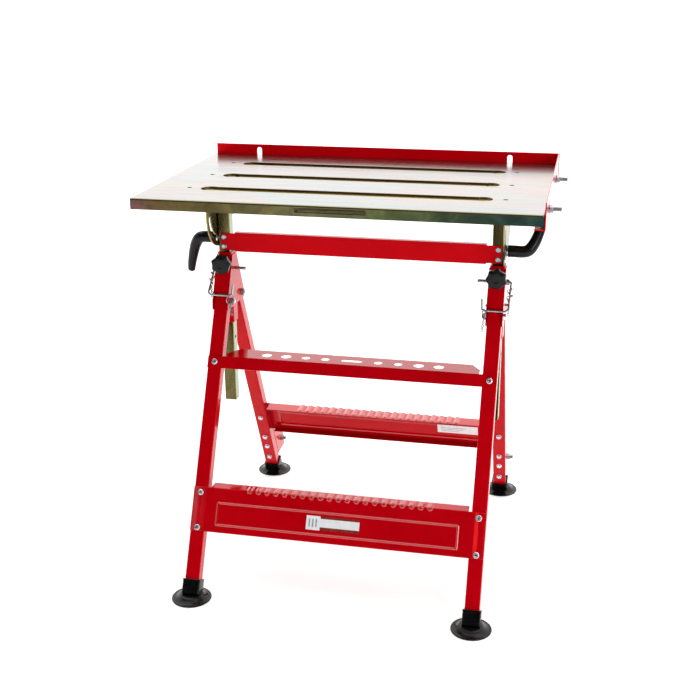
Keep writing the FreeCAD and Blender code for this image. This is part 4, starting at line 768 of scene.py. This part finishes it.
def rounded_square(half_x, half_y, corner):
    """The outline of a rectangle with rounded corners, as (x, y) pairs."""
    points = []
    for quadrant, (sx, sy) in enumerate(((1, 1), (-1, 1), (-1, -1), (1, -1))):
        for k in range(CORNER_STEPS + 1):
            a = math.pi / 2 * (quadrant + k / CORNER_STEPS)
            x = sx * (half_x - corner) + corner * math.cos(a)
            points.append((x, sy * (half_y - corner) + corner * math.sin(a)))
    return points


def foot(name, sign, facing, body):
    """A foot: its pad on the floor, and its socket round the leg's end."""
    reach = PIVOT_Z * math.tan(LEAN) + PIVOT_Y
    middle = at(SIDE * sign, reach * facing, 0)
    mesh = bmesh.new()
    lathe(mesh, middle, Z, FOOT_SHAPE, 64)
    up_leg = Vector((0, -math.sin(LEAN) * facing, math.cos(LEAN)))
    back = Vector((0, math.cos(LEAN) * facing, math.sin(LEAN)))
    top = SOCKET_TOP / math.cos(LEAN)
    # (distance up the leg, growth of the outline, corner radius), with a lip at the top and back inside
    stations = [(9.0, 0.6, 3.0), (14.0, 0.1, 3.0), (top - 3.2, 0.0, 3.0), (top - 2.6, 0.55, 3.2),
                (top - 0.6, 0.55, 3.2), (top, -0.1, 2.8), (top, -2.9, 1.0), (top - 8.0, -3.0, 1.0)]
    rings = []
    for along, grow, corner in stations:
        half_width, half_depth = LEG_HALF_WIDTH + SOCKET_WALL + grow, LEG_HALF_DEPTH + SOCKET_WALL + grow
        outline = rounded_square(half_width, half_depth, corner)
        rings.append([middle + up_leg * (along * MM) + X * (u * MM) + back * (v * MM) for u, v in outline])
    loft(mesh, rings, cap=False)
    piece(name + "_rubber", mesh, [RUBBER], body, [name], 40.0)


for side, sign in SIDES.items():
    foot(f"{side}_front_foot", sign, -1, "front_frame")
    foot(f"{side}_rear_foot", sign, 1, "rear_frame")

# lanyards: small oval links wound round the bail's arm, and a split ring on the bail's end


LINK_LENGTH, LINK_WIDTH, LINK_WIRE, LINK_PITCH = 6.4, 4.0, 0.72, 4.3
PIN_LEVEL = 610
GUSSET_METAL, PIN_HEAD_GAP, PIN_HEAD, BAIL_WIRE, BAIL_GAP = 2, 0.5, 6, 2.4, 1.5
BAIL_ARM = SIDE + SLEEVE_HALF + GUSSET_METAL + PIN_HEAD_GAP + PIN_HEAD + BAIL_WIRE + BAIL_GAP
BAIL_BAR = Vector((0, -52.5, -46.0))  # from the pin to the bail's bar
COIL_START, COIL_LENGTH, COIL_TURNS, COIL_RADIUS = 17, 26, 1.6, 4.1  # round the bail's arm
HANG_LENGTH, HANG_SWAY = 28.0, 0.8
RING_X, RING_LEVEL, RING_RADIUS, RING_WIRE, RING_TURNS = 262.8, 556.4, 10.5, 0.8, 1.92
TAIL_LINKS, TAIL_TOP = 6, 545.0


def round_wire(spot, first, second, radius):
    """Six points round the middle line of a wire."""
    ring = []
    for n in range(6):
        a = n * math.pi / 3
        ring.append(spot + (first * math.cos(a) + second * math.sin(a)) * (radius * MM))
    return ring


def oval_link(mesh, centre, along, across):
    """A closed link of round wire: two half circles joined by straight runs."""
    normal = along.cross(across).normalized()
    straight = LINK_LENGTH / 2 - LINK_WIDTH / 2
    spine = []
    for end in (1, -1):
        for k in range(7):
            a = math.pi * k / 6 - math.pi / 2
            lengthways = (straight + LINK_WIDTH / 2 * math.cos(a)) * MM * end
            sideways = LINK_WIDTH / 2 * math.sin(a) * MM * end
            spine.append(centre + along * lengthways + across * sideways)
    rows = []
    for k, spot in enumerate(spine):
        tangent = (spine[(k + 1) % len(spine)] - spine[k - 1]).normalized()
        ring = round_wire(spot, normal, normal.cross(tangent), LINK_WIRE)
        rows.append([mesh.verts.new(point) for point in ring])
    for low, high in zip(rows, rows[1:] + rows[:1]):
        for n in range(6):
            m = (n + 1) % 6
            mesh.faces.new((low[n], low[m], high[m], high[n]))


def split_ring(mesh, centre, normal):
    """A split ring: nearly two turns of round wire, side by side."""
    first, second = basis(normal)
    steps = 110
    rings = []
    for k in range(steps + 1):
        a = 2 * math.pi * RING_TURNS * k / steps
        heading = first * math.cos(a) + second * math.sin(a)
        rise = (k / steps - 0.5) * 2 * RING_WIRE * 1.05
        spot = centre + heading * (RING_RADIUS * MM) + normal * (rise * MM)
        rings.append(round_wire(spot, heading, normal, RING_WIRE))
    loft(mesh, rings)


def chain_route(sign):
    """The chain's route: wound round the bail's arm, then hanging from it."""
    top = Vector((BAIL_ARM * sign, 0, PIN_LEVEL))
    along = BAIL_BAR.normalized()
    across = along.cross(X)
    route = []
    for k in range(60):
        t = k / 59
        a = 2 * math.pi * COIL_TURNS * t + 0.6
        around = X * math.cos(a) * sign + across * math.sin(a)
        route.append(top + along * (COIL_START + COIL_LENGTH * t) + around * COIL_RADIUS)
    tail = route[-1]
    for k in range(1, 40):
        sway = HANG_SWAY * math.sin(k * 0.16) * sign
        route.append(tail + Vector((sway, -1.0 * k / 39, -HANG_LENGTH * k / 39)))
    return route


def lanyard(side, sign):
    """One pin's lanyard: the chain, the split ring on the bail's end, and the ring's short tail."""
    route = chain_route(sign)
    spots, carried = [route[0]], 0.0
    for a, b in zip(route, route[1:]):
        carried += (b - a).length
        if carried >= LINK_PITCH:
            spots.append(b)
            carried = 0.0
    chain = bmesh.new()
    for k, spot in enumerate(spots):
        before, after = spots[max(k - 1, 0)], spots[min(k + 1, len(spots) - 1)]
        heading = (after - before).normalized()
        across, other = basis(heading)
        oval_link(chain, at(*spot), heading, across if k % 2 else other)
    piece(f"{side}_lanyard_chain", chain, [LINKS], f"{side}_bail", [f"{side}_pin_chain"], 80.0)
    ring = bmesh.new()
    facing = Vector((0.907, 0.42 * sign, 0)).normalized()
    split_ring(ring, at(RING_X * sign, BAIL_BAR.y, RING_LEVEL), facing)
    piece(f"{side}_split_ring", ring, [DULL], f"{side}_bail", (), 80.0)
    tail = bmesh.new()
    for k in range(TAIL_LINKS):
        spot = Vector((RING_X * sign - 0.6 * k * sign, BAIL_BAR.y - 1.0, TAIL_TOP - LINK_PITCH * k))
        oval_link(tail, at(*spot), -Z, X if k % 2 else Y)
    piece(f"{side}_ring_tail", tail, [LINKS], f"{side}_bail", (), 80.0)


for side, sign in SIDES.items():
    lanyard(side, sign)

# ---------------------------------------------------------------- floor and light

floor_shader = Shader("floor", Base_Color=(0.90, 0.90, 0.90, 1.0), Roughness=0.9,
                      Emission_Color=(1.0, 1.0, 1.0, 1.0), Emission_Strength=0.22)
bpy.ops.mesh.primitive_plane_add(size=60.0, location=(0, 0, 0))
floor = bpy.context.object
floor.name = "floor"
floor.data.materials.append(floor_shader.material)

# A pale sweep behind and beside the table, a soft box above, and a dark studio behind the camera.
world = bpy.data.worlds.new("studio")
world.use_nodes = True
bpy.context.scene.world = world
sky = world.node_tree
directions = sky.nodes.new("ShaderNodeTexCoord").outputs["Generated"]
heading = sky.nodes.new("ShaderNodeSeparateXYZ")
sky.links.new(directions, heading.inputs["Vector"])


def sky_spread(value, low, high, out_low, out_high):
    """Maps low..high smoothly to out_low..out_high in the world's tree."""
    item = sky.nodes.new("ShaderNodeMapRange")
    item.interpolation_type = "SMOOTHSTEP"
    for socket, number in zip(("From Min", "From Max", "To Min", "To Max"), (low, high, out_low, out_high)):
        item.inputs[socket].default_value = number
    sky.links.new(value, item.inputs["Value"])
    return item.outputs["Result"]


sweep = sky_spread(heading.outputs["Y"], -0.40, 0.25, 0.06, 1.9)
soft_box = sky_spread(heading.outputs["Z"], 0.72, 0.90, 0.0, 1.2)
total = sky.nodes.new("ShaderNodeMath")
total.operation = "ADD"
sky.links.new(sweep, total.inputs[0])
sky.links.new(soft_box, total.inputs[1])
sky.nodes["Background"].inputs["Color"].default_value = (1.0, 1.0, 1.0, 1.0)
# the background itself is plain white, whatever lights the table
backdrop = sky.nodes.new("ShaderNodeMapRange")
backdrop.inputs["To Max"].default_value = 1.0
sky.links.new(sky.nodes.new("ShaderNodeLightPath").outputs["Is Camera Ray"], backdrop.inputs["Value"])
sky.links.new(total.outputs[0], backdrop.inputs["To Min"])
sky.links.new(backdrop.outputs["Result"], sky.nodes["Background"].inputs["Strength"])


def area_light(name, place, target, size, power):
    """A rectangular light that faces its target."""
    data = bpy.data.lights.new(name, "AREA")
    data.shape = "RECTANGLE"
    data.size, data.size_y = size
    data.energy = power
    light = bpy.data.objects.new(name, data)
    bpy.context.scene.collection.objects.link(light)
    light.location = place
    light.rotation_euler = (Vector(target) - Vector(place)).to_track_quat("-Z", "Y").to_euler()


area_light("key", (2.4, -2.6, 1.6), (0, 0, 0.45), (1.2, 1.2), 32.0)
area_light("fill", (-2.8, -2.0, 1.2), (0, 0, 0.45), (1.5, 1.5), 6.0)
bpy.context.scene.view_settings.view_transform = "Standard"
